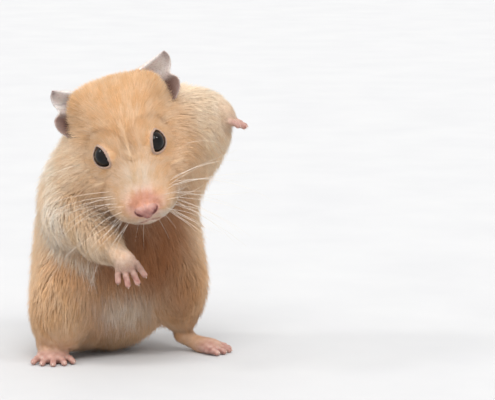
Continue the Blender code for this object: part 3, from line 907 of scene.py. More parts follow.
# ---------------------------------------------------------------- ears: where on the pinna a point is
EAR_GRIDS = {}
for side in (1, -1):
    grid = ear_sheet(side, across=41, between=8, start=-0.42)
    tree = KDTree(grid.shape[0] * grid.shape[1])
    for i, v in enumerate(grid.reshape(-1, 3)):
        tree.insert(Vector(v), i)
    tree.balance()
    du, dv = np.gradient(grid, axis=0), np.gradient(grid, axis=1)
    facing = np.cross(du, dv).reshape(-1, 3)
    facing /= np.linalg.norm(facing, axis=1, keepdims=True)
    # the hollow side looks the way the animal does
    if facing[:, 1].mean() > 0:
        facing = -facing
    EAR_GRIDS[side] = (grid.shape, grid.reshape(-1, 3), tree, facing)


def ear_place(p):
    """For each point: whether it lies on a pinna, how far up it (0 lobe, 1 tip), how far out, and whether on its hollow side."""
    on = np.zeros(len(p), bool)
    up, outward, hollow = np.zeros(len(p)), np.zeros(len(p)), np.zeros(len(p), bool)
    for side, (shape, flat, tree, facing) in EAR_GRIDS.items():
        middle = flat.mean(0)
        for i in np.flatnonzero(np.linalg.norm(p - middle, axis=1) < 16):
            _, k, d = tree.find(Vector(p[i]))
            if d < 0.75:
                row, col = divmod(k, shape[1])
                s = -0.42 + 1.42 * col / (shape[1] - 1)
                if s > 0.02:
                    on[i], up[i], outward[i] = True, row / (shape[0] - 1), s
                    hollow[i] = (p[i] - flat[k]) @ facing[k] > 0
    return on, up, outward, hollow


# ---------------------------------------------------------------- colours
def mix(a, b, t):
    return a + (b - a) * np.asarray(t)[:, None]


def coat_colours(p, w, ear):
    """Colour of the hair's tip and of its root at each point, linear."""
    h = in_head(p)
    n = len(p)
    patch = 0.5 + 0.5 * wave_noise(p, 11.0, 3)
    fine = 0.5 + 0.5 * wave_noise(p, 3.4, 4)
    flank = np.tile(srgb(253, 220, 188), (n, 1))
    back = np.tile(srgb(254, 226, 196), (n, 1))
    lower = smooth_step(-p[:, 2], -46.0, -14.0)
    body = mix(back, np.tile(srgb(240, 198, 156), (n, 1)), lower)
    body = mix(body, flank, 0.5 * patch)
    # painted light: paler on the lit top of the withers and left shoulder
    high = smooth_step(p[:, 2], 64.0, 74.0) * smooth_step(p[:, 0], 4.0, 14.0)
    body = mix(body, np.tile(srgb(255, 236, 214), (n, 1)), 0.7 * high)
    # belly: pale grey-white patch between the thighs, and painted shade in the crease under the arm, warmer and darker
    front = smooth_step(-p[:, 1], 1.0, 11.0)
    spot = np.exp(-(((p[:, 0] - 1.5) / 9.5) ** 2) - ((p[:, 2] - 18.5) / 7.0) ** 2) * smooth_step(-p[:, 1], -6.0, 2.0)
    body = mix(body, np.tile(srgb(240, 226, 212), (n, 1)), np.clip(1.3 * spot, 0, 0.92))
    # painted shade: the crease under the right arm is darker and warmer
    crease_shade = np.exp(-(((p[:, 2] - 30.0 + 0.62 * (p[:, 0] + 14.5)) / 4.5) ** 2)) * front
    crease_shade *= smooth_step(-p[:, 0], -8.0, 2.0)
    body = mix(body, np.tile(srgb(236, 172, 112), (n, 1)), 0.8 * crease_shade * (1 - spot))
    # painted shade: the chest under the head and arm is made darker and warmer
    deep = smooth_step(-p[:, 1], -5.0, 6.0) * smooth_step(p[:, 0], -15.0, -3.0) * smooth_step(-p[:, 2], -60.0, -46.0)
    deep = deep * smooth_step(-p[:, 0], -30.0, -20.0)
    body = mix(body, np.tile(srgb(166, 106, 62), (n, 1)), np.clip(0.95 * deep * (1 - 0.95 * spot) * (1 - 0.75 * crease_shade), 0, 1))
    # painted shade: darker low on the front, under the belly between the feet
    body = body * (1 - 0.45 * smooth_step(-p[:, 2], -13.0, -5.0) * smooth_step(-p[:, 1], -9.0, 0.0) * (np.abs(p[:, 0] - 2) < 13))[:, None]
    # head
    crown = np.tile(srgb(234, 195, 154), (n, 1))
    face = np.tile(srgb(253, 218, 184), (n, 1))
    pale = np.tile(srgb(250, 236, 220), (n, 1))
    up = smooth_step(h[:, 2], -6.0, 13.0)
    head = mix(face, crown, up)
    ahead = smooth_step(-h[:, 1], 1.0, 12.0)
    head = mix(head, pale, 0.8 * ahead * smooth_step(-np.abs(h[:, 0]), -7.0, -1.0))
    chin = smooth_step(-h[:, 2], 10.0, 13.5) * smooth_step(-h[:, 1], -2.0, 8.0)
    head = mix(head, np.tile(srgb(254, 244, 236), (n, 1)), 0.95 * chin)
    lips = smooth_step(-h[:, 2], 7.5, 11.0) * smooth_step(-h[:, 1], 6.0, 12.0)
    head = mix(head, pale, 0.75 * lips)
    band = np.exp(-(((h[:, 1] - 19.0) / 4.4) ** 2)) * smooth_step(-h[:, 2], -8.0, 0.0)
    band *= smooth_step(np.abs(h[:, 0]), 8.0, 14.0)
    head = mix(head, pale, 0.9 * band)
    # painted light and shade: the low face is paler on the animal's right and darker on its left
    low_face_light_shade = smooth_step(-h[:, 2], -7.0, 3.0)
    head = mix(head, pale, 0.35 * low_face_light_shade * smooth_step(-h[:, 0], 6.0, 13.0))
    head = head * (1 - (low_face_light_shade * smooth_step(h[:, 0], 6.0, 13.0))[:, None] * np.array([0.10, 0.17, 0.24]))
    for eye in SEATS.values():
        d = np.linalg.norm(p - eye, axis=1)
        head = mix(head, np.tile(srgb(228, 196, 164), (n, 1)), 0.6 * np.exp(-(((d - 4.2) / 1.2) ** 2)))
    head = mix(head, head * np.array([0.96, 0.87, 0.74]), 0.25 * patch * (1 - ahead))
    head = head * (1 - 0.2 * smooth_step(-h[:, 1], 4.0, 12.0))[:, None]
    dots = np.zeros(n)
    for row in range(5):
        for col in range(5):
            gap = np.hypot(h[:, 1] - (-15.0 + 1.35 * col), h[:, 2] - (-7.2 - 1.15 * row))
            dots = np.maximum(dots, np.exp(-((gap / 0.36) ** 2)))
    head = mix(head, np.tile(srgb(186, 138, 108), (n, 1)), 0.45 * dots * (np.abs(h[:, 0]) > 3.0))
    from_nose = np.linalg.norm((h - np.array([0, -17.6, -6.6])) / np.array([4.6, 4.2, 3.6]), axis=1)
    head = mix(head, np.tile(srgb(232, 176, 158), (n, 1)), 0.65 * smooth_step(-from_nose, -1.75, -0.6))
    head = mix(head, np.tile(srgb(208, 148, 132), (n, 1)), 0.6 * smooth_step(-from_nose, -1.2, -0.75))
    lip = np.min([cut.field(p) for row in GROOVES[2:] for cut in row], axis=0)
    head = mix(head, np.tile(srgb(206, 148, 130), (n, 1)), 0.8 * np.exp(-((np.maximum(lip, 0) / 0.45) ** 2)))
    arm = np.tile(srgb(242, 222, 198), (n, 1))
    along = (p - np.array([-14, -4, 48.0])) @ ARM_WAY["fore_right"]
    upper = np.tile(srgb(250, 214, 176), (n, 1))
    under = smooth_step(-(p[:, 2] - (48.0 - 0.62 * (p[:, 0] + 14))), 1.0, 5.0)
    arm = mix(upper, arm, np.maximum(0.9 * smooth_step(along, 19.0, 26.0), 0.9 * under))
    # left forelimb: partly its own pale cream, partly painted light, made paler for the light on its raised top
    arm_left = mix(body, np.tile(srgb(255, 234, 210), (n, 1)), 0.8 * np.ones(n))
    ankle = smooth_step(-p[:, 2], -13.0, -3.0)
    leg = mix(body, np.tile(srgb(226, 190, 160), (n, 1)), 0.6 * ankle)
    groups = {
        "head": head, "neck": mix(body, head, 0.5 * np.ones(n)), "trunk": body,
        # the left hind leg is darker all over: painted shade
        "hind_right": leg, "hind_left": leg * np.array([0.86, 0.82, 0.78]), "fore_right": arm, "fore_left": arm_left,
        "tail": np.tile(srgb(236, 200, 182), (n, 1)),
    }
    tip = np.zeros((n, 3))
    for name, colour in groups.items():
        tip += w[:, INDEX[name], None] * colour
    paw = w[:, PAWS].sum(1)
    tip += paw[:, None] * srgb(206, 178, 162)
    line = ((-17.2, 68.0), (-15.8, 52.0), (-17.2, 41.0), (-14.5, 36.2), (-10.3, 32.6), (-5.0, 30.0), (0.0, 28.8))
    q = p[:, [0, 2]]
    gap = np.full(n, 1e9)
    for a, b in zip(line[:-1], line[1:]):
        a, b = np.array(a), np.array(b)
        t = np.clip((q - a) @ (b - a) / ((b - a) @ (b - a)), 0, 1)
        gap = np.minimum(gap, np.linalg.norm(q - a - t[:, None] * (b - a), axis=1))
    fringe = np.exp(-((gap / (1.9 + 1.5 * smooth_step(p[:, 2], 40.0, 50.0))) ** 2)) * smooth_step(-p[:, 1], -9.0, -3.0) * (w[:, INDEX["trunk"]] < 0.85)
    fringe = fringe * (1 - w[:, PAWS].sum(1))
    tip = mix(tip, np.tile(srgb(254, 240, 226), (n, 1)), 0.92 * fringe)
    # partly the pale cheek fur hanging over the arm, partly painted light over the shadowed fold below the cheek
    fold = np.exp(-(((p[:, 0] + 6.0) / 5.5) ** 2) - ((p[:, 2] - 45.0) / 4.5) ** 2) * smooth_step(-p[:, 1], 2.0, 8.0)
    tip = mix(tip, np.tile(srgb(252, 226, 198), (n, 1)), 0.75 * fold * (1 - paw))
    # locks of pale and of golden hair side by side
    lock = 0.5 + 0.5 * wave_noise(p, 2.1, 14)
    # fewer golden locks on the lit top of the left shoulder: painted light
    gold = smooth_step(0.55 * fine + 0.45 * lock, 0.25, 0.8) * (1 - paw) * (1 - 0.6 * high * (1 - w[:, INDEX["head"]]))
    tip *= mix(np.tile([1.02, 1.04, 1.07], (n, 1)), np.tile([0.96, 0.87, 0.74], (n, 1)), gold)
    root = tip * mix(np.tile([0.95, 0.82, 0.66], (n, 1)), np.tile([0.96, 0.85, 0.72], (n, 1)), w[:, INDEX["head"]])
    # roots lightened in the fold as well: painted light
    root = mix(root, tip, 0.6 * fold)
    on, high, outward, hollow = ear
    if on.any():
        grey = np.tile(srgb(252, 248, 246), (n, 1))
        dark = np.tile(srgb(150, 136, 132), (n, 1))
        speck = smooth_step(wave_noise(p, 0.9, 9), 0.25, 0.6)
        edge = smooth_step(outward, 0.72, 0.98)
        ear_tip = mix(grey, dark, np.clip(0.28 * speck + 0.75 * edge * smooth_step(high, 0.55, 0.9), 0, 1))
        concha = np.tile(srgb(126, 92, 80), (n, 1))
        low_lobe = smooth_step(-high, -0.52, -0.36) * hollow
        ear_tip = mix(ear_tip, concha, 0.95 * low_lobe * (1 - 0.15 * edge))
        base = smooth_step(-outward, -0.3, -0.02) * (~hollow)
        ear_tip = mix(ear_tip, tip, 0.6 * base)
        ear_tip = mix(ear_tip, np.tile(srgb(206, 186, 172), (n, 1)), 0.6 * (~hollow))
        tip = np.where(on[:, None], ear_tip, tip)
        root = np.where(on[:, None], ear_tip * np.array([0.94, 0.91, 0.90]), root)
    return tip, root


def bareness(p, w):
    """1 on naked skin: nose pad, lips' edge, paws."""
    bare = w[:, PAWS].sum(1)
    h = in_head(p)
    nose = np.max([smooth_step(-lobe.field(p), -0.55, -0.12) for lobe in NOSE_LOBES], axis=0) * (h[:, 1] < -18.2)
    split = smooth_step(-np.abs(h[:, 0]), -0.75, -0.2) * smooth_step(-h[:, 1], 18.2, 19.2)
    return np.clip(bare, 0, 1), np.clip(np.maximum(nose, split * (h[:, 2] > -12)), 0, 1)


def skin_colours(p, guides):
    g = split_guides(guides.read(p))
    w = np.clip(g[4], 0, 1)
    columns, _ = all_fields(p)
    sharp = group_weights(columns, 0.8)
    tip, root = coat_colours(p, w, ear_place(p))
    paw, nose = bareness(p, sharp)
    colour = mix(root, tip, 0.6 * np.ones(len(p)))
    pink = np.tile(srgb(196, 158, 146), (len(p), 1))
    pink = mix(pink, np.tile(srgb(166, 118, 108), (len(p), 1)), 0.5 + 0.5 * wave_noise(p, 2.3, 12))
    hand = sharp[:, INDEX["paw_fore_right"]] * smooth_step(p[:, 2], 26.5, 33.0)
    pink = mix(pink, np.tile(srgb(132, 108, 93), (len(p), 1)), 0.85 * hand)
    colour = mix(colour, pink, paw)
    rose = mix(
        np.tile(srgb(176, 128, 117), (len(p), 1)), np.tile(srgb(152, 103, 95), (len(p), 1)),
        0.5 + 0.5 * wave_noise(p, 1.5, 13),
    )
    height = in_head(p)[:, 2]
    rose = mix(rose, np.tile(srgb(214, 172, 156), (len(p), 1)), 0.6 * smooth_step(height, -7.0, -6.0))
    colour = mix(colour, rose, nose)
    for cut in GROOVES[0] + GROOVES[1]:
        near = np.exp(-((np.maximum(cut.field(p), 0) / 0.2) ** 2))
        colour = mix(colour, np.tile(srgb(104, 50, 44), (len(p), 1)), 0.9 * near)
    for cut in GROOVES[2] + GROOVES[3] + GROOVES[4]:
        near = np.exp(-((np.maximum(cut.field(p), 0) / 0.22) ** 2))
        colour = mix(colour, np.tile(srgb(150, 92, 82), (len(p), 1)), 0.8 * near)
    for side, eye in SEATS.items():
        near = np.linalg.norm(p - eye, axis=1)
        rim = np.exp(-((np.maximum(lid_field(p, side), 0) / 0.2) ** 2)) * (near < 5)
        x, y, z, beyond, _ = eye_frame(p, side)
        inner = smooth_step(-beyond, -0.04, 0.12) * (near < 5)
        # painted shade: the bare skin beside each eye is darkened like skin in the coat's shade
        about = smooth_step(-beyond, -4.2, -2.6) * smooth_step(z, -1.0, 1.0) * (near < 8)
        colour = colour * (1 - about[:, None] * np.array([0.20, 0.23, 0.27]))
        colour = mix(colour, np.tile(srgb(168, 146, 134), (len(p), 1)), 0.9 * rim)
        colour = mix(colour, np.tile(srgb(60, 46, 42), (len(p), 1)), 0.9 * inner)
    return colour, np.maximum(paw, nose)


# ---------------------------------------------------------------- hair
def sample_roots(verts, tris, weight, count):
    """Even random points on triangles, in proportion to weight."""
    a, b, c = verts[tris[:, 0]], verts[tris[:, 1]], verts[tris[:, 2]]
    area = 0.5 * np.linalg.norm(np.cross(b - a, c - a), axis=1) * weight
    total = np.cumsum(area)
    at = (np.arange(count) + rng.random(count)) * (total[-1] / count)
    k = np.minimum(np.searchsorted(total, at), len(tris) - 1)
    r1, r2 = np.sqrt(rng.random(count)), rng.random(count)
    u, v, w = 1 - r1, r1 * (1 - r2), r1 * r2
    return k, u[:, None] * a[k] + v[:, None] * b[k] + w[:, None] * c[k], np.stack([u, v, w], 1)


def unit_rows(v):
    return v / np.maximum(np.linalg.norm(v, axis=1, keepdims=True), 1e-9)


def tangent(v, n):
    return unit_rows(v - (v * n).sum(1, keepdims=True) * n)


WRISTS = (np.array([2.2, -20.5, 33.6]), np.array([31.0, 4.8, 71.4]))


def part_round_eyes(p, way, n):
    """Turns the lie of the hair away from the opening of each eye."""
    for side in SEATS:
        x, y, z, beyond, _ = eye_frame(p, side)
        k = smooth_step(-beyond, -3.2, -0.4) * smooth_step(z, -2.5, 0.5)
        if not (k > 0).any():
            continue
        a = EYE_LONG[side]
        away = tangent(np.outer(x, a) + np.outer(y, np.cross(EYE_OUT[side], a)), n)
        lack = np.maximum(0.45 - (way * away).sum(1), 0)
        way = tangent(way + away * (1.25 * lack * k)[:, None], n)
    return way


def hair_paths(root, normal, guides, length, rise, joints, steer=True):
    """Paths that leave the skin, climb through the coat's depth and lie along it."""
    whole, depth, out, flow, w = split_guides(guides.read(root))
    count = len(root)
    n = normal
    way = tangent(flow + 0.15 * rng.normal(size=(count, 3)), n)
    way = part_round_eyes(root, way, n)
    path = [root - n * 0.12]
    level0 = whole
    spot = root
    climb = np.maximum(-level0, 0.25) * rise * (0.8 if joints == 2 else 1.0)
    at_end = level0 + climb
    for j in range(1, joints):
        s = j / (joints - 1)
        shape = 1 - (1 - s) ** 1.7
        before = 1 - (1 - (j - 1) / (joints - 1)) ** 1.7
        up = climb * (shape - before)
        across = np.sqrt(np.maximum((length / (joints - 1)) ** 2 - up**2, (0.35 * length / (joints - 1)) ** 2))
        spot = spot + way * across[:, None] + n * up[:, None]
        if steer:
            f, _, o, fl, _ = split_guides(guides.read(spot))
            target = level0 + climb * shape
            spot = spot + o * np.clip(target - f, -2.0, 2.0)[:, None]
            way = part_round_eyes(spot, tangent(0.6 * way + 0.4 * tangent(fl, o), o), o)
            n = o
        path.append(spot)
    return np.stack(path, 1), w, out


def clump(path, size, amount, seed):
    """Pulls the ends of hairs that grow close together towards each other."""
    root = path[:, 0]
    warp = np.stack([wave_noise(root, 5.0, seed + i) for i in range(3)], -1) * 0.6
    cell = np.floor((root / size[:, None]) + warp).astype(np.int64)
    key = (cell[:, 0] * 73856093) ^ (cell[:, 1] * 19349663) ^ (cell[:, 2] * 83492791)
    _, inverse = np.unique(key, return_inverse=True)
    count = np.bincount(inverse).astype(float)
    joints = path.shape[1]
    for j in range(1, joints):
        s = j / (joints - 1)
        mean = np.stack([np.bincount(inverse, path[:, j, i]) / count for i in range(3)], -1)
        pull = amount * s**1.3 * (count[inverse] > 1)
        path[:, j] += (mean[inverse] - path[:, j]) * pull[:, None]
    return path, inverse


def hair_mesh(name, path, width, colour_root, colour_tip, soft_normal, uv, material):
    """Closed three-sided spikes along paths, one mesh."""
    count, joints = path.shape[:2]
    rings = joints - 1
    along = np.empty_like(path)
    along[:, 0] = path[:, 1] - path[:, 0]
    along[:, -1] = path[:, -1] - path[:, -2]
    if joints > 2:
        along[:, 1:-1] = path[:, 2:] - path[:, :-2]
    along /= np.maximum(np.linalg.norm(along, axis=2, keepdims=True), 1e-9)
    side = np.cross(along[:, 0], soft_normal)
    side = unit_rows(side)
    per = rings * 3 + 1
    verts = np.empty((count, per, 3))
    normals = np.empty((count, per, 3))
    colours = np.empty((count, per, 3))
    uvs = np.empty((count, per, 2))
    for r in range(rings):
        s = r / (joints - 1)
        a = unit_rows(side - (side * along[:, r]).sum(1, keepdims=True) * along[:, r])
        b = np.cross(along[:, r], a)
        radius = width * 0.5 * (1.0 - 0.55 * s**1.2) * (0.8 if r == 0 else 1.0)
        for k in range(3):
            angle = 2 * math.pi * (k / 3 + 1 / 12)
            ray = math.cos(angle) * a + math.sin(angle) * b
            verts[:, r * 3 + k] = path[:, r] + ray * radius[:, None]
            normals[:, r * 3 + k] = unit_rows(0.35 * ray + soft_normal)
            uvs[:, r * 3 + k] = uv + 0.003 * np.array([k / 2, s])
        t = (s**0.8)
        colours[:, r * 3 : r * 3 + 3] = (colour_root + (colour_tip - colour_root) * t)[:, None, :]
    verts[:, -1] = path[:, -1]
    normals[:, -1] = unit_rows(0.4 * along[:, -1] + soft_normal)
    colours[:, -1] = colour_tip
    uvs[:, -1] = uv + 0.003 * np.array([0.5, 1.0])
    base = np.arange(count)[:, None] * per
    faces = [np.array([[0, 2, 1]])]
    for r in range(rings - 1):
        for k in range(3):
            m = (k + 1) % 3
            lo, hi = r * 3, r * 3 + 3
            faces.append(np.array([[lo + k, lo + m, hi + m], [lo + k, hi + m, hi + k]]))
    for k in range(3):
        faces.append(np.array([[(rings - 1) * 3 + k, (rings - 1) * 3 + (k + 1) % 3, per - 1]]))
    faces = np.concatenate(faces)
    tris = (base[:, :, None] + faces[None]).reshape(-1, 3)
    me = mesh_from(name, to_row(verts.reshape(-1, 3)), tris)
    set_colour(me, "coat", colours.reshape(-1, 3))
    layer = me.uv_layers.new(name="OFBake")
    layer.data.foreach_set("uv", uvs.reshape(-1, 2)[tris.ravel()].astype(np.float32).ravel())
    free = me.attributes.new("custom_normal", "FLOAT_VECTOR", "POINT")
    free.data.foreach_set("vector", normals.reshape(-1, 3).astype(np.float32).ravel())
    me.materials.append(material)
    me.update()
    return new_object(name, me)


def skin_unwrap(skin):
    """An unwrap of the skin's own shape, read at any point near it."""
    copy = new_object("unwrap", skin.data.copy())
    m = copy.modifiers.new("coarse", "DECIMATE")
    m.ratio = min(1.0, 9000 / max(1, 2 * len(skin.data.polygons)))
    apply_modifiers(copy)
    me = copy.data
    me.uv_layers.new(name="flat")
    bpy.ops.object.select_all(action="DESELECT")
    copy.select_set(True)
    bpy.context.view_layer.objects.active = copy
    bpy.ops.object.mode_set(mode="EDIT")
    bpy.ops.mesh.select_all(action="SELECT")
    bpy.ops.uv.smart_project(angle_limit=1.15, island_margin=0.004, scale_to_bounds=True)
    bpy.ops.object.mode_set(mode="OBJECT")
    me = copy.data
    verts = points(copy)
    tris = triangles(me)
    corner = np.empty(len(tris) * 3, np.int32)
    me.loop_triangles.foreach_get("loops", corner)
    flat = np.empty(len(me.loops) * 2, np.float32)
    me.uv_layers[0].data.foreach_get("uv", flat)
    flat = flat.reshape(-1, 2)[corner.reshape(-1, 3)]
    tree = BVHTree.FromPolygons(verts.tolist(), tris.tolist())
    bpy.data.objects.remove(copy)

    def at(p):
        found = np.array([tree.find_nearest(Vector(x))[2] for x in p.tolist()])
        a, b, c = (verts[tris[found, i]] for i in range(3))
        e1, e2, q = b - a, c - a, p - a
        d11, d12, d22 = (e1 * e1).sum(1), (e1 * e2).sum(1), (e2 * e2).sum(1)
        q1, q2 = (q * e1).sum(1), (q * e2).sum(1)
        den = np.maximum(d11 * d22 - d12 * d12, 1e-12)
        v = np.clip((d22 * q1 - d12 * q2) / den, 0, 1)
        w = np.clip((d11 * q2 - d12 * q1) / den, 0, 1 - v)
        uv = flat[found]
        return (uv[:, 0] * (1 - v - w)[:, None] + uv[:, 1] * v[:, None] + uv[:, 2] * w[:, None]) * 0.99 + 0.003

    return at


COAT_TRIANGLES = 1_420_000
PIECE_TRIANGLES = 190_000


def grow_coat(skin, guides, material):
    verts, tris = points(skin), triangles(skin.data)
    normals = vertex_normals(verts, tris)
    whole, _, _, _, w = split_guides(guides.read(verts))
    columns, exact = all_fields(verts)
    sharp = group_weights(columns, 1.2)
    on, high, outward, hollow = ear_place(verts)
    depth = np.clip(-exact, 0.2, 6.0)
    headness = np.clip(sharp[:, INDEX["head"]] + 0.35 * sharp[:, INDEX["neck"]], 0, 1)
    paw, nose = bareness(verts, sharp)
    length = 0.9 + (1.0 + 0.3 * (1 - headness)) * depth
    h = in_head(verts)
    # the low edge of each cheek hangs over the arm and the throat
    hang = smooth_step(-h[:, 2], 7.0, 11.0) * smooth_step(np.abs(h[:, 0]), 8.0, 12.0) * smooth_step(h[:, 1], -9.0, -3.0)
    length = length + 2.6 * hang * sharp[:, INDEX["head"]]
    for wrist, far in zip(WRISTS, (9.0, 9.0)):
        gap = np.linalg.norm(verts - wrist, axis=1)
        length = np.minimum(length, 1.8 + np.maximum(gap - 0.5, 0) * 0.9 + 50 * (gap > far))
    for side in SEATS:
        _, _, z, beyond, _ = eye_frame(verts, side)
        length = np.where((z > -2) & (beyond < 6), np.minimum(length, 0.75 + 0.75 * np.maximum(beyond, 0)), length)
    length = np.where(on, 1.0 - 0.45 * smooth_step(outward, 0.6, 1.0), length)
    length = length * (1 - paw) + 0.9 * paw
    width = 0.045 + 0.0155 * length
    width = np.where(on, 0.062, width)
    cover = 8.0 * (1 - headness) + 6.0 * headness
    density = np.minimum(cover / (length * width * 0.6), 34)
    density = np.where(on, 60.0, density)
    density = density * (1 - paw) + 1.6 * paw
    density *= 1 - nose * (0.75 + 0.25 * smooth_step(-in_head(verts)[:, 2], 6.2, 7.4))
    for side in SEATS:
        _, _, z, beyond, _ = eye_frame(verts, side)
        density *= ~((beyond < 0.62) & (z > 0) & (np.linalg.norm(verts - SEATS[side], axis=1) < 6))
    h = in_head(verts)
    mouth = np.ones(len(verts))
    for row in GROOVES[2:]:
        for cut in row:
            mouth *= cut.field(verts) > 0.22
    density *= mouth
    density *= verts[:, 2] > 0.12
    share = density[tris].mean(1)
    bodyness = 1 - np.clip(headness + paw + on, 0, 1)
    typical = length[tris].mean(1)
    kinds = (("long", typical > 4.8, 3, 10), ("short", (typical > 3.3) & (typical <= 4.8), 3, 10), ("fine", typical <= 3.3, 2, 4))
    a, b, c = verts[tris[:, 0]], verts[tris[:, 1]], verts[tris[:, 2]]
    area = 0.5 * np.linalg.norm(np.cross(b - a, c - a), axis=1)
    wanted = [(area * share * chosen).sum() for _, chosen, _, _ in kinds]
    budget = COAT_TRIANGLES * 1.0
    scale = min(1.25, budget / sum(n * kind[3] for n, kind in zip(wanted, kinds)))
    print("hairs wanted", [int(n) for n in wanted], "scale", round(scale, 3))
    unwrap = skin_unwrap(skin)
    made = []
    for label, chosen, joints, cost in kinds:
        weight = share * chosen
        count = int((area * weight).sum() * scale)
        k, root, bary = sample_roots(verts, tris, weight, count)
        t = tris[k]

        def at(values):
            return (values[t] * (bary if values.ndim == 1 else bary[:, :, None])).sum(1)

        normal = unit_rows(at(normals))
        size = at(length) * np.clip(rng.normal(1.0, 0.2, count), 0.5, 1.6)
        wide = at(width) * rng.uniform(0.8, 1.2, count) / (math.sqrt(scale) if scale < 1 else 1)
        is_ear = on[t[:, 0]]
        is_head = at(headness)
        rise = np.clip(rng.normal(0.92, 0.12, count), 0.6, 1.3)
        rise = rise * (1 - 0.38 * by_ears(in_head(root)) * (is_head > 0.5))
        stray = rng.random(count) < 0.06
        rise = np.where(stray, rise * 1.18, rise)
        steer = ~is_ear & (at(paw) < 0.5)
        path = np.empty((count, joints, 3))
        hw = np.empty((count, w.shape[1]))
        soft = np.empty((count, 3))
        for flag in (True, False):
            pick = steer == flag
            if pick.any():
                if flag:
                    path[pick], hw[pick], soft[pick] = hair_paths(
                        root[pick], normal[pick], guides, size[pick], rise[pick], joints
                    )
                else:
                    path[pick], hw[pick], soft[pick] = hair_paths(
                        root[pick], normal[pick], guides, size[pick], rise[pick] * 0.0 + 0.15, joints, False
                    )
                    soft[pick] = normal[pick]
        cell = 0.7 + 0.11 * size
        path, _ = clump(path, cell, (0.12 + 0.10 * (1 - is_head)) * steer, 70)
        path += rng.normal(size=(count, joints, 3)) * np.linspace(0, 1, joints)[None, :, None] * (0.05 + 0.14 * (1 - is_head) * steer)[:, None, None]
        end, _, out_end, lie_end, _ = split_guides(guides.read(path[:, -1]))
        last = unit_rows(path[:, -1] - path[:, -2])
        agree = (last * tangent(lie_end, out_end)).sum(1)
        keep = (path[:, :, 2] > -0.5).all(1) & (((end < 0.9) & (agree > 0.35)) | ~steer)
        path[:, :, 2] = np.maximum(path[:, :, 2], 0.10)
        for side, eye in SEATS.items():
            _, _, z, beyond, _ = eye_frame(path.reshape(-1, 3), side)
            crosses = (beyond < 0.2) & (z > 0.8) & (z < 9)
            keep &= ~crosses.reshape(path.shape[:2]).any(1)
        ear = ear_place(root)
        tip, base = coat_colours(root, np.clip(hw, 0, 1), ear)
        vary = np.exp(rng.normal(0, 0.07, (count, 1)))
        tip, base = np.clip(tip * vary, 0, 0.98), np.clip(base * vary, 0, 0.98)
        uv = unwrap(root)
        order = np.flatnonzero(keep)
        region = np.where(is_ear, 2, np.where(is_head > 0.5, 1, 0))[order]
        names = {0: "coat_body", 1: "coat_head", 2: "coat_ears"}
        for r in (0, 1, 2):
            own = order[region == r]
            if not len(own):
                continue
            parts = max(1, math.ceil(len(own) * cost / PIECE_TRIANGLES))
            for i, chunk in enumerate(np.array_split(own, parts)):
                ob = hair_mesh(
                    f"{names[r]}_{label}_{i + 1}", path[chunk], wide[chunk], base[chunk], tip[chunk],
                    soft[chunk], uv[chunk], material,
                )
                made.append(ob)
    return made


# ---------------------------------------------------------------- materials
def node_material(name):
    mat = bpy.data.materials.new(name)
    mat.use_nodes = True
    nt = mat.node_tree
    shader = next(n for n in nt.nodes if n.type == "BSDF_PRINCIPLED")
    return mat, nt, shader


def add(nt, kind, **values):
    node = nt.nodes.new(kind)
    for key, value in values.items():
        setattr(node, key, value)
    return node


def coords(nt, scale):
    """Object coordinates, in turns per metre."""
    tc = add(nt, "ShaderNodeTexCoord")
    mapping = add(nt, "ShaderNodeMapping")
    mapping.inputs["Scale"].default_value = scale if hasattr(scale, "__len__") else (scale,) * 3
    nt.links.new(tc.outputs["Object"], mapping.inputs["Vector"])
    return mapping.outputs["Vector"]


def noise(nt, vector, scale, detail=3.0, rough=0.55):
    n = add(nt, "ShaderNodeTexNoise")
    n.inputs["Scale"].default_value = scale
    n.inputs["Detail"].default_value = detail
    n.inputs["Roughness"].default_value = rough
    nt.links.new(vector, n.inputs["Vector"])
    return n.outputs["Fac"]


def ramp(nt, value, stops):
    r = add(nt, "ShaderNodeValToRGB")
    el = r.color_ramp.elements
    while len(el) < len(stops):
        el.new(0.5)
    for e, (at, colour) in zip(el, stops):
        e.position = at
        e.color = (*colour, 1) if hasattr(colour, "__len__") else (colour, colour, colour, 1)
    nt.links.new(value, r.inputs["Fac"])
    return r.outputs["Color"]


def multiply(nt, a, b, fac=1.0):
    m = add(nt, "ShaderNodeMix", data_type="RGBA", blend_type="MULTIPLY")
    m.inputs["Factor"].default_value = fac
    nt.links.new(a, m.inputs["A"])
    nt.links.new(b, m.inputs["B"])
    return m.outputs["Result"]


def fur_material():
    mat, nt, s = node_material("coat_hair")
    a = add(nt, "ShaderNodeAttribute", attribute_name="coat")
    v = coords(nt, 1.0)
    tone = ramp(nt, noise(nt, v, 900.0, 2.0), [(0.3, 0.90), (0.7, 1.0)])
    broad = ramp(nt, noise(nt, v, 120.0, 3.0), [(0.3, (1.0, 0.97, 0.93)), (0.7, (1.0, 1.0, 1.0))])
    nt.links.new(multiply(nt, multiply(nt, a.outputs["Color"], tone), broad), s.inputs["Base Color"])
    r = ramp(nt, noise(nt, v, 700.0, 2.0), [(0.3, 0.50), (0.7, 0.66)])
    nt.links.new(r, s.inputs["Roughness"])
    s.inputs["Specular IOR Level"].default_value = 0.3
    s.inputs["Sheen Weight"].default_value = 0.12
    s.inputs["Sheen Roughness"].default_value = 0.5
    s.inputs["Sheen Tint"].default_value = (1.0, 0.92, 0.82, 1)
    return mat


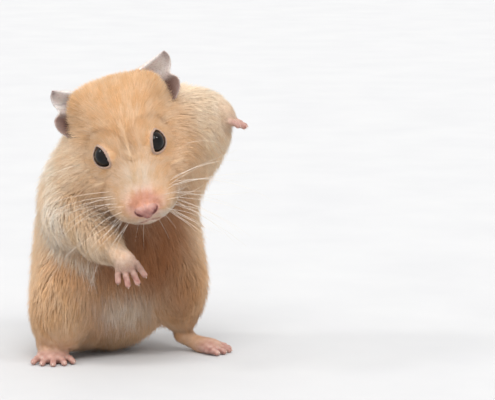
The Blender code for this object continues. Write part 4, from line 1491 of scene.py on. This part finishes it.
def skin_material():
    mat, nt, s = node_material("skin_and_underfur")
    a = add(nt, "ShaderNodeAttribute", attribute_name="coat")
    b = add(nt, "ShaderNodeAttribute", attribute_name="bare")
    v = coords(nt, 1.0)
    mottle = ramp(nt, noise(nt, v, 1400.0, 4.0), [(0.3, (0.90, 0.86, 0.84)), (0.7, (1.0, 1.0, 1.0))])
    nt.links.new(multiply(nt, a.outputs["Color"], mottle), s.inputs["Base Color"])
    mr = add(nt, "ShaderNodeMapRange")
    mr.inputs["To Min"].default_value = 0.72
    mr.inputs["To Max"].default_value = 0.46
    nt.links.new(b.outputs["Fac"], mr.inputs["Value"])
    nt.links.new(mr.outputs["Result"], s.inputs["Roughness"])
    cells = add(nt, "ShaderNodeTexVoronoi")
    cells.inputs["Scale"].default_value = 2600.0
    nt.links.new(v, cells.inputs["Vector"])
    fold = add(nt, "ShaderNodeMath", operation="ADD")
    nt.links.new(cells.outputs["Distance"], fold.inputs[0])
    nt.links.new(noise(nt, v, 900.0, 4.0), fold.inputs[1])
    bump = add(nt, "ShaderNodeBump")
    bump.inputs["Strength"].default_value = 0.5
    bump.inputs["Distance"].default_value = 0.00012
    nt.links.new(fold.outputs[0], bump.inputs["Height"])
    nt.links.new(bump.outputs["Normal"], s.inputs["Normal"])
    s.inputs["Subsurface Weight"].default_value = 0.12
    s.inputs["Subsurface Radius"].default_value = (1.0, 0.4, 0.25)
    s.inputs["Subsurface Scale"].default_value = 0.0012
    s.inputs["Specular IOR Level"].default_value = 0.4
    return mat


def claw_material():
    mat, nt, s = node_material("claw_horn")
    v = coords(nt, 1.0)
    a = add(nt, "ShaderNodeAttribute", attribute_name="coat")
    streak = ramp(nt, noise(nt, v, 3000.0, 3.0), [(0.3, (0.86, 0.82, 0.78)), (0.7, (1, 1, 1))])
    nt.links.new(multiply(nt, a.outputs["Color"], streak), s.inputs["Base Color"])
    nt.links.new(ramp(nt, noise(nt, v, 2200.0, 2.0), [(0.3, 0.25), (0.7, 0.38)]), s.inputs["Roughness"])
    s.inputs["Coat Weight"].default_value = 0.3
    s.inputs["Coat Roughness"].default_value = 0.2
    return mat


def eye_material():
    mat, nt, s = node_material("eye_surface")
    a = add(nt, "ShaderNodeAttribute", attribute_name="coat")
    v = coords(nt, 1.0)
    fibre = ramp(nt, noise(nt, v, 2600.0, 4.0), [(0.35, (0.6, 0.55, 0.5)), (0.65, (1, 1, 1))])
    nt.links.new(multiply(nt, a.outputs["Color"], fibre), s.inputs["Base Color"])
    nt.links.new(ramp(nt, noise(nt, v, 500.0, 2.0), [(0.3, 0.03), (0.7, 0.07)]), s.inputs["Roughness"])
    s.inputs["Coat Weight"].default_value = 0.05
    s.inputs["Coat Roughness"].default_value = 0.03
    s.inputs["Specular IOR Level"].default_value = 0.22
    return mat


# ---------------------------------------------------------------- eyes, claws, whiskers
def make_eye(side, material):
    """Eyeball with a slightly steeper cornea, turned about where it looks."""
    n, a = EYE_OUT[side], EYE_LONG[side]
    b = np.cross(n, a)
    rings, spokes = 40, 64
    verts, colour = [], []
    for i in range(rings + 1):
        t = math.pi * i / rings
        r = EYE_RADIUS
        bulge = 0.16 * math.exp(-((t / 0.75) ** 2))
        x, z = math.sin(t) * r, math.cos(t) * (r + bulge)
        pupil = np.array([0.0035, 0.003, 0.003])
        iris = np.array([0.010, 0.0065, 0.005])
        white = np.array([0.03, 0.02, 0.018])
        k1, k2 = smooth_step(t, 0.35, 0.55), smooth_step(t, 1.1, 1.35)
        c = pupil + (iris - pupil) * k1
        c = c + (white - c) * k2
        for j in range(spokes if 0 < i < rings else 1):
            u = 2 * math.pi * j / spokes
            verts.append(SEATS[side] + n * z + a * x * math.cos(u) + b * x * math.sin(u))
            colour.append(c * (1 + 0.25 * k1 * (1 - k2) * math.sin(23 * u + 2 * math.sin(5 * u))))
    tris = []
    first = lambda i: 0 if i == 0 else 1 + (i - 1) * spokes
    for j in range(spokes):
        m = (j + 1) % spokes
        tris.append((0, 1 + j, 1 + m))
        last = first(rings)
        tris.append((last, first(rings - 1) + m, first(rings - 1) + j))
        for i in range(1, rings - 1):
            p, q = first(i), first(i + 1)
            tris += [(p + j, q + j, q + m), (p + j, q + m, p + m)]
    me = mesh_from("eyeball", to_row(np.array(verts)), np.array(tris))
    set_colour(me, "coat", np.array(colour))
    me.materials.append(material)
    name = "eyeball_left" if side > 0 else "eyeball_right"
    return new_object(name, me)


def tube(path, radii, sides=8):
    """Closed round tube along a path, ending in points."""
    path, radii = np.asarray(path, float), np.asarray(radii, float)
    along = np.gradient(path, axis=0)
    along /= np.linalg.norm(along, axis=1, keepdims=True)
    up = np.array([0.3, 0.2, 1.0])
    a = np.cross(along, up)
    a /= np.linalg.norm(a, axis=1, keepdims=True)
    b = np.cross(along, a)
    angle = 2 * math.pi * np.arange(sides) / sides
    ring = (
        path[:, None]
        + radii[:, None, None]
        * (np.cos(angle)[None, :, None] * a[:, None] + np.sin(angle)[None, :, None] * b[:, None])
    )
    verts = np.concatenate([ring.reshape(-1, 3), path[:1] - along[:1] * radii[0] * 0.5, path[-1:] + along[-1:] * radii[-1] * 0.7])
    m = len(path)
    tris = []
    for j in range(sides):
        k = (j + 1) % sides
        tris.append((m * sides, k, j))
        tris.append((m * sides + 1, (m - 1) * sides + j, (m - 1) * sides + k))
        for i in range(m - 1):
            p, q = i * sides, (i + 1) * sides
            tris += [(p + j, p + k, q + k), (p + j, q + k, q + j)]
    return verts, np.array(tris)


def join_parts(name, parts, material, colours):
    verts, tris, paint, base = [], [], [], 0
    for (v, t), c in zip(parts, colours):
        verts.append(v)
        tris.append(t + base)
        paint.append(np.broadcast_to(c, (len(v), 3)) if np.ndim(c) == 1 else c)
        base += len(v)
    me = mesh_from(name, to_row(np.concatenate(verts)), np.concatenate(tris))
    set_colour(me, "coat", np.concatenate(paint))
    me.materials.append(material)
    return new_object(name, me)


def make_claws(material):
    made = []
    for name, (bare, clawed) in {
        "claws_hind_right": (paw_hind_right_parts(False), paw_hind_right_parts(True)),
        "claws_hind_left": (paw_hind_left_parts(False), paw_hind_left_parts(True)),
        "claws_fore_right": (paw_fore_right_parts(False), paw_fore_right_parts(True)),
        "claws_fore_left": (paw_fore_left_parts(False), paw_fore_left_parts(True)),
    }.items():
        parts, colours = [], []
        for limb in clawed:
            if isinstance(limb, Limb) and limb.ra == 0.42:
                way = unit(limb.b - limb.a)
                start = limb.a - way * 0.35
                t = np.linspace(0, 1, 9)[:, None]
                bend = np.array([0, 0, -0.3])
                path = start + way * t * 1.05 + bend * t**2 + np.array([0, 0, 0.12]) * np.sin(math.pi * t)
                radii = 0.25 * (1 - t[:, 0]) ** 0.6 + 0.035
                v, f = tube(path, radii, 10)
                v[:, 2] = np.maximum(v[:, 2], 0.03)
                along = np.clip(((v - start) @ way) / 1.35, 0, 1)
                parts.append((v, f))
                colours.append(mix(np.tile(srgb(206, 158, 146), (len(v), 1)), np.tile(srgb(222, 204, 188), (len(v), 1)), along))
        made.append(join_parts(name, parts, material, colours))
    return made


def make_whiskers(material):
    parts, colours = [], []
    sp, cp = math.sin(math.radians(HEAD_PITCH)), math.cos(math.radians(HEAD_PITCH))

    def facing(lateral, up, deep):
        """Axes square to the face turned back into the head's own."""
        return np.array([lateral, up * sp + deep * cp, up * cp - deep * sp])

    for side in (1, -1):
        for row in range(5):
            for col in range(5):
                at = np.array([side * (4.9 + 0.42 * col), -15.0 + 1.35 * col, -7.2 - 1.15 * row])
                at = at + rng.normal(0, 0.3, 3)
                length = (11 + 4.2 * col) * (1.08 - 0.07 * abs(row - 1)) * rng.uniform(0.75, 1.15)
                lift = 0.22 - 0.26 * row + rng.normal(0, 0.10)
                way = unit(facing(side, lift, -0.30 + 0.17 * col + rng.normal(0, 0.08)))
                root = HEAD_AT + HEAD_AXES @ at
                root = settle(coat_field, root[None], 3)[0]
                n = unit(gradient(coat_field, root[None])[0])
                root = root - n * 1.0
                t = np.linspace(0, 1, 16)[:, None]
                bend = HEAD_AXES @ facing(0, rng.normal(-0.20, 0.14), rng.normal(0.16, 0.10)) * length
                path = root + (HEAD_AXES @ way) * length * (t - 0.08 * t**3) + bend * t**2.1
                path += n * 1.2 * np.sin(np.minimum(t * 3, 1) * math.pi / 2)
                radii = rng.uniform(0.026, 0.038) * (1 - t[:, 0]) ** 0.7 + 0.011
                parts.append(tube(path, radii, 5))
                colours.append(srgb(250, 240, 228) * rng.uniform(0.85, 1.0))
    for side in (1, -1):  # chin and cheek
        for at, way, length in (
            ((side * 1.6, -10.5, -16.0), (side * 0.35, 0.1, -1.0), 8.0),
            ((side * 2.8, -8.5, -16.2), (side * 0.6, 0.3, -1.0), 7.0),
            ((side * 12.0, 4.5, -7.0), (side * 1.0, 0.4, -0.3), 11.0),
        ):
            root = settle(coat_field, (HEAD_AT + HEAD_AXES @ np.array(at))[None], 4)[0]
            n = unit(gradient(coat_field, root[None])[0])
            t = np.linspace(0, 1, 10)[:, None]
            path = root - n + unit(HEAD_AXES @ unit(way) + 0.45 * n) * length * t + np.array([0, 0.1 * length, -0.3 * length]) * t**2
            parts.append(tube(path, 0.03 * (1 - t[:, 0]) ** 0.8 + 0.010, 5))
            colours.append(srgb(250, 240, 228))
    return join_parts("whiskers", parts, material, colours)


# ---------------------------------------------------------------- the model
guides = Guides()
skin = make_skin()
colour, bare = skin_colours(points(skin), guides)
coat = grow_coat(skin, guides, fur_material())
skin_mat = skin_material()
set_colour(skin.data, "coat", colour)
set_value(skin.data, "bare", bare)
put_points(skin, to_row(points(skin)))
skin.data.materials.clear()
skin.data.materials.append(skin_mat)
skin.name = "skin"

eye_mat, claw_mat, hair_mat = eye_material(), claw_material(), fur_material()
eyeballs = {side: make_eye(side, eye_mat) for side in (1, -1)}
claws = make_claws(claw_mat)
whiskers = make_whiskers(hair_mat)

FLESH = [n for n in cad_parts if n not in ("eye_left", "eye_right")]
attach(skin, "root")
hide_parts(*FLESH)
for ob in coat + [whiskers]:
    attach(ob, "root")
for side, ob in eyeballs.items():
    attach(ob, "root")
    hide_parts("eye_left" if side > 0 else "eye_right")
for ob in claws:
    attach(ob, "root")

# ---------------------------------------------------------------- floor, light, camera
floor_mat, nt, s = node_material("studio_floor")
v = coords(nt, 1.0)
nt.links.new(ramp(nt, noise(nt, v, 25.0, 3.0), [(0.3, (0.60, 0.60, 0.605)), (0.7, (0.63, 0.63, 0.63))]), s.inputs["Base Color"])
s.inputs["Roughness"].default_value = 0.75
s.inputs["Specular IOR Level"].default_value = 0.2
R = 12.0
floor = new_object("floor", mesh_from("floor", [(-R, -R, 0), (R, -R, 0), (R, R, 0), (-R, R, 0)], [(0, 1, 2), (0, 2, 3)]))
floor.data.materials.append(floor_mat)

world = bpy.data.worlds.new("studio")
bpy.context.scene.world = world
world.use_nodes = True
wt = world.node_tree
background = next(n for n in wt.nodes if n.type == "BACKGROUND")
tc = add(wt, "ShaderNodeTexCoord")
sep = add(wt, "ShaderNodeSeparateXYZ")
wt.links.new(tc.outputs["Generated"], sep.inputs[0])
sky = ramp(wt, sep.outputs["Z"], [(0.0, (0.95, 0.95, 0.955)), (0.12, (0.95, 0.95, 0.955)), (0.45, (0.8, 0.8, 0.81)), (1.0, (0.85, 0.85, 0.85))])
behind = ramp(wt, sep.outputs["Y"], [(0.05, (0.92, 0.92, 0.92)), (0.3, (1, 1, 1))])
wt.links.new(multiply(wt, sky, behind), background.inputs["Color"])
background.inputs["Strength"].default_value = 1.0


def sun(name, way, strength, angle, colour=(1, 1, 1)):
    """Distant soft light; way is from the subject to the light."""
    data = bpy.data.lights.new(name, "SUN")
    data.energy, data.angle, data.color = strength, math.radians(angle), colour
    ob = bpy.data.objects.new(name, data)
    bpy.context.scene.collection.objects.link(ob)
    ob.rotation_euler = Vector(way).to_track_quat("Z", "Y").to_euler()
    return ob


sun("key", (0.0, -0.62, 1.0), 1.8, 40)
sun("fill", (-1.0, -0.5, 0.4), 0.22, 60)
sun("spark_right", (-0.77, -0.12, 0.63), 0.5, 10)
sun("spark_left", (0.54, -0.36, 0.76), 0.55, 10)

camera = bpy.data.cameras.new("camera")
camera.sensor_width, camera.lens = 36.0, 173.09
camera.clip_start, camera.clip_end = 0.05, 100.0
cam = bpy.data.objects.new("camera", camera)
bpy.context.scene.collection.objects.link(cam)
cam.location = to_row((38.1, -691.38, 156.70))
cam.rotation_euler = (math.radians(81.0), 0, 0)
bpy.context.scene.camera = cam
bpy.context.scene.view_settings.view_transform = "Standard"
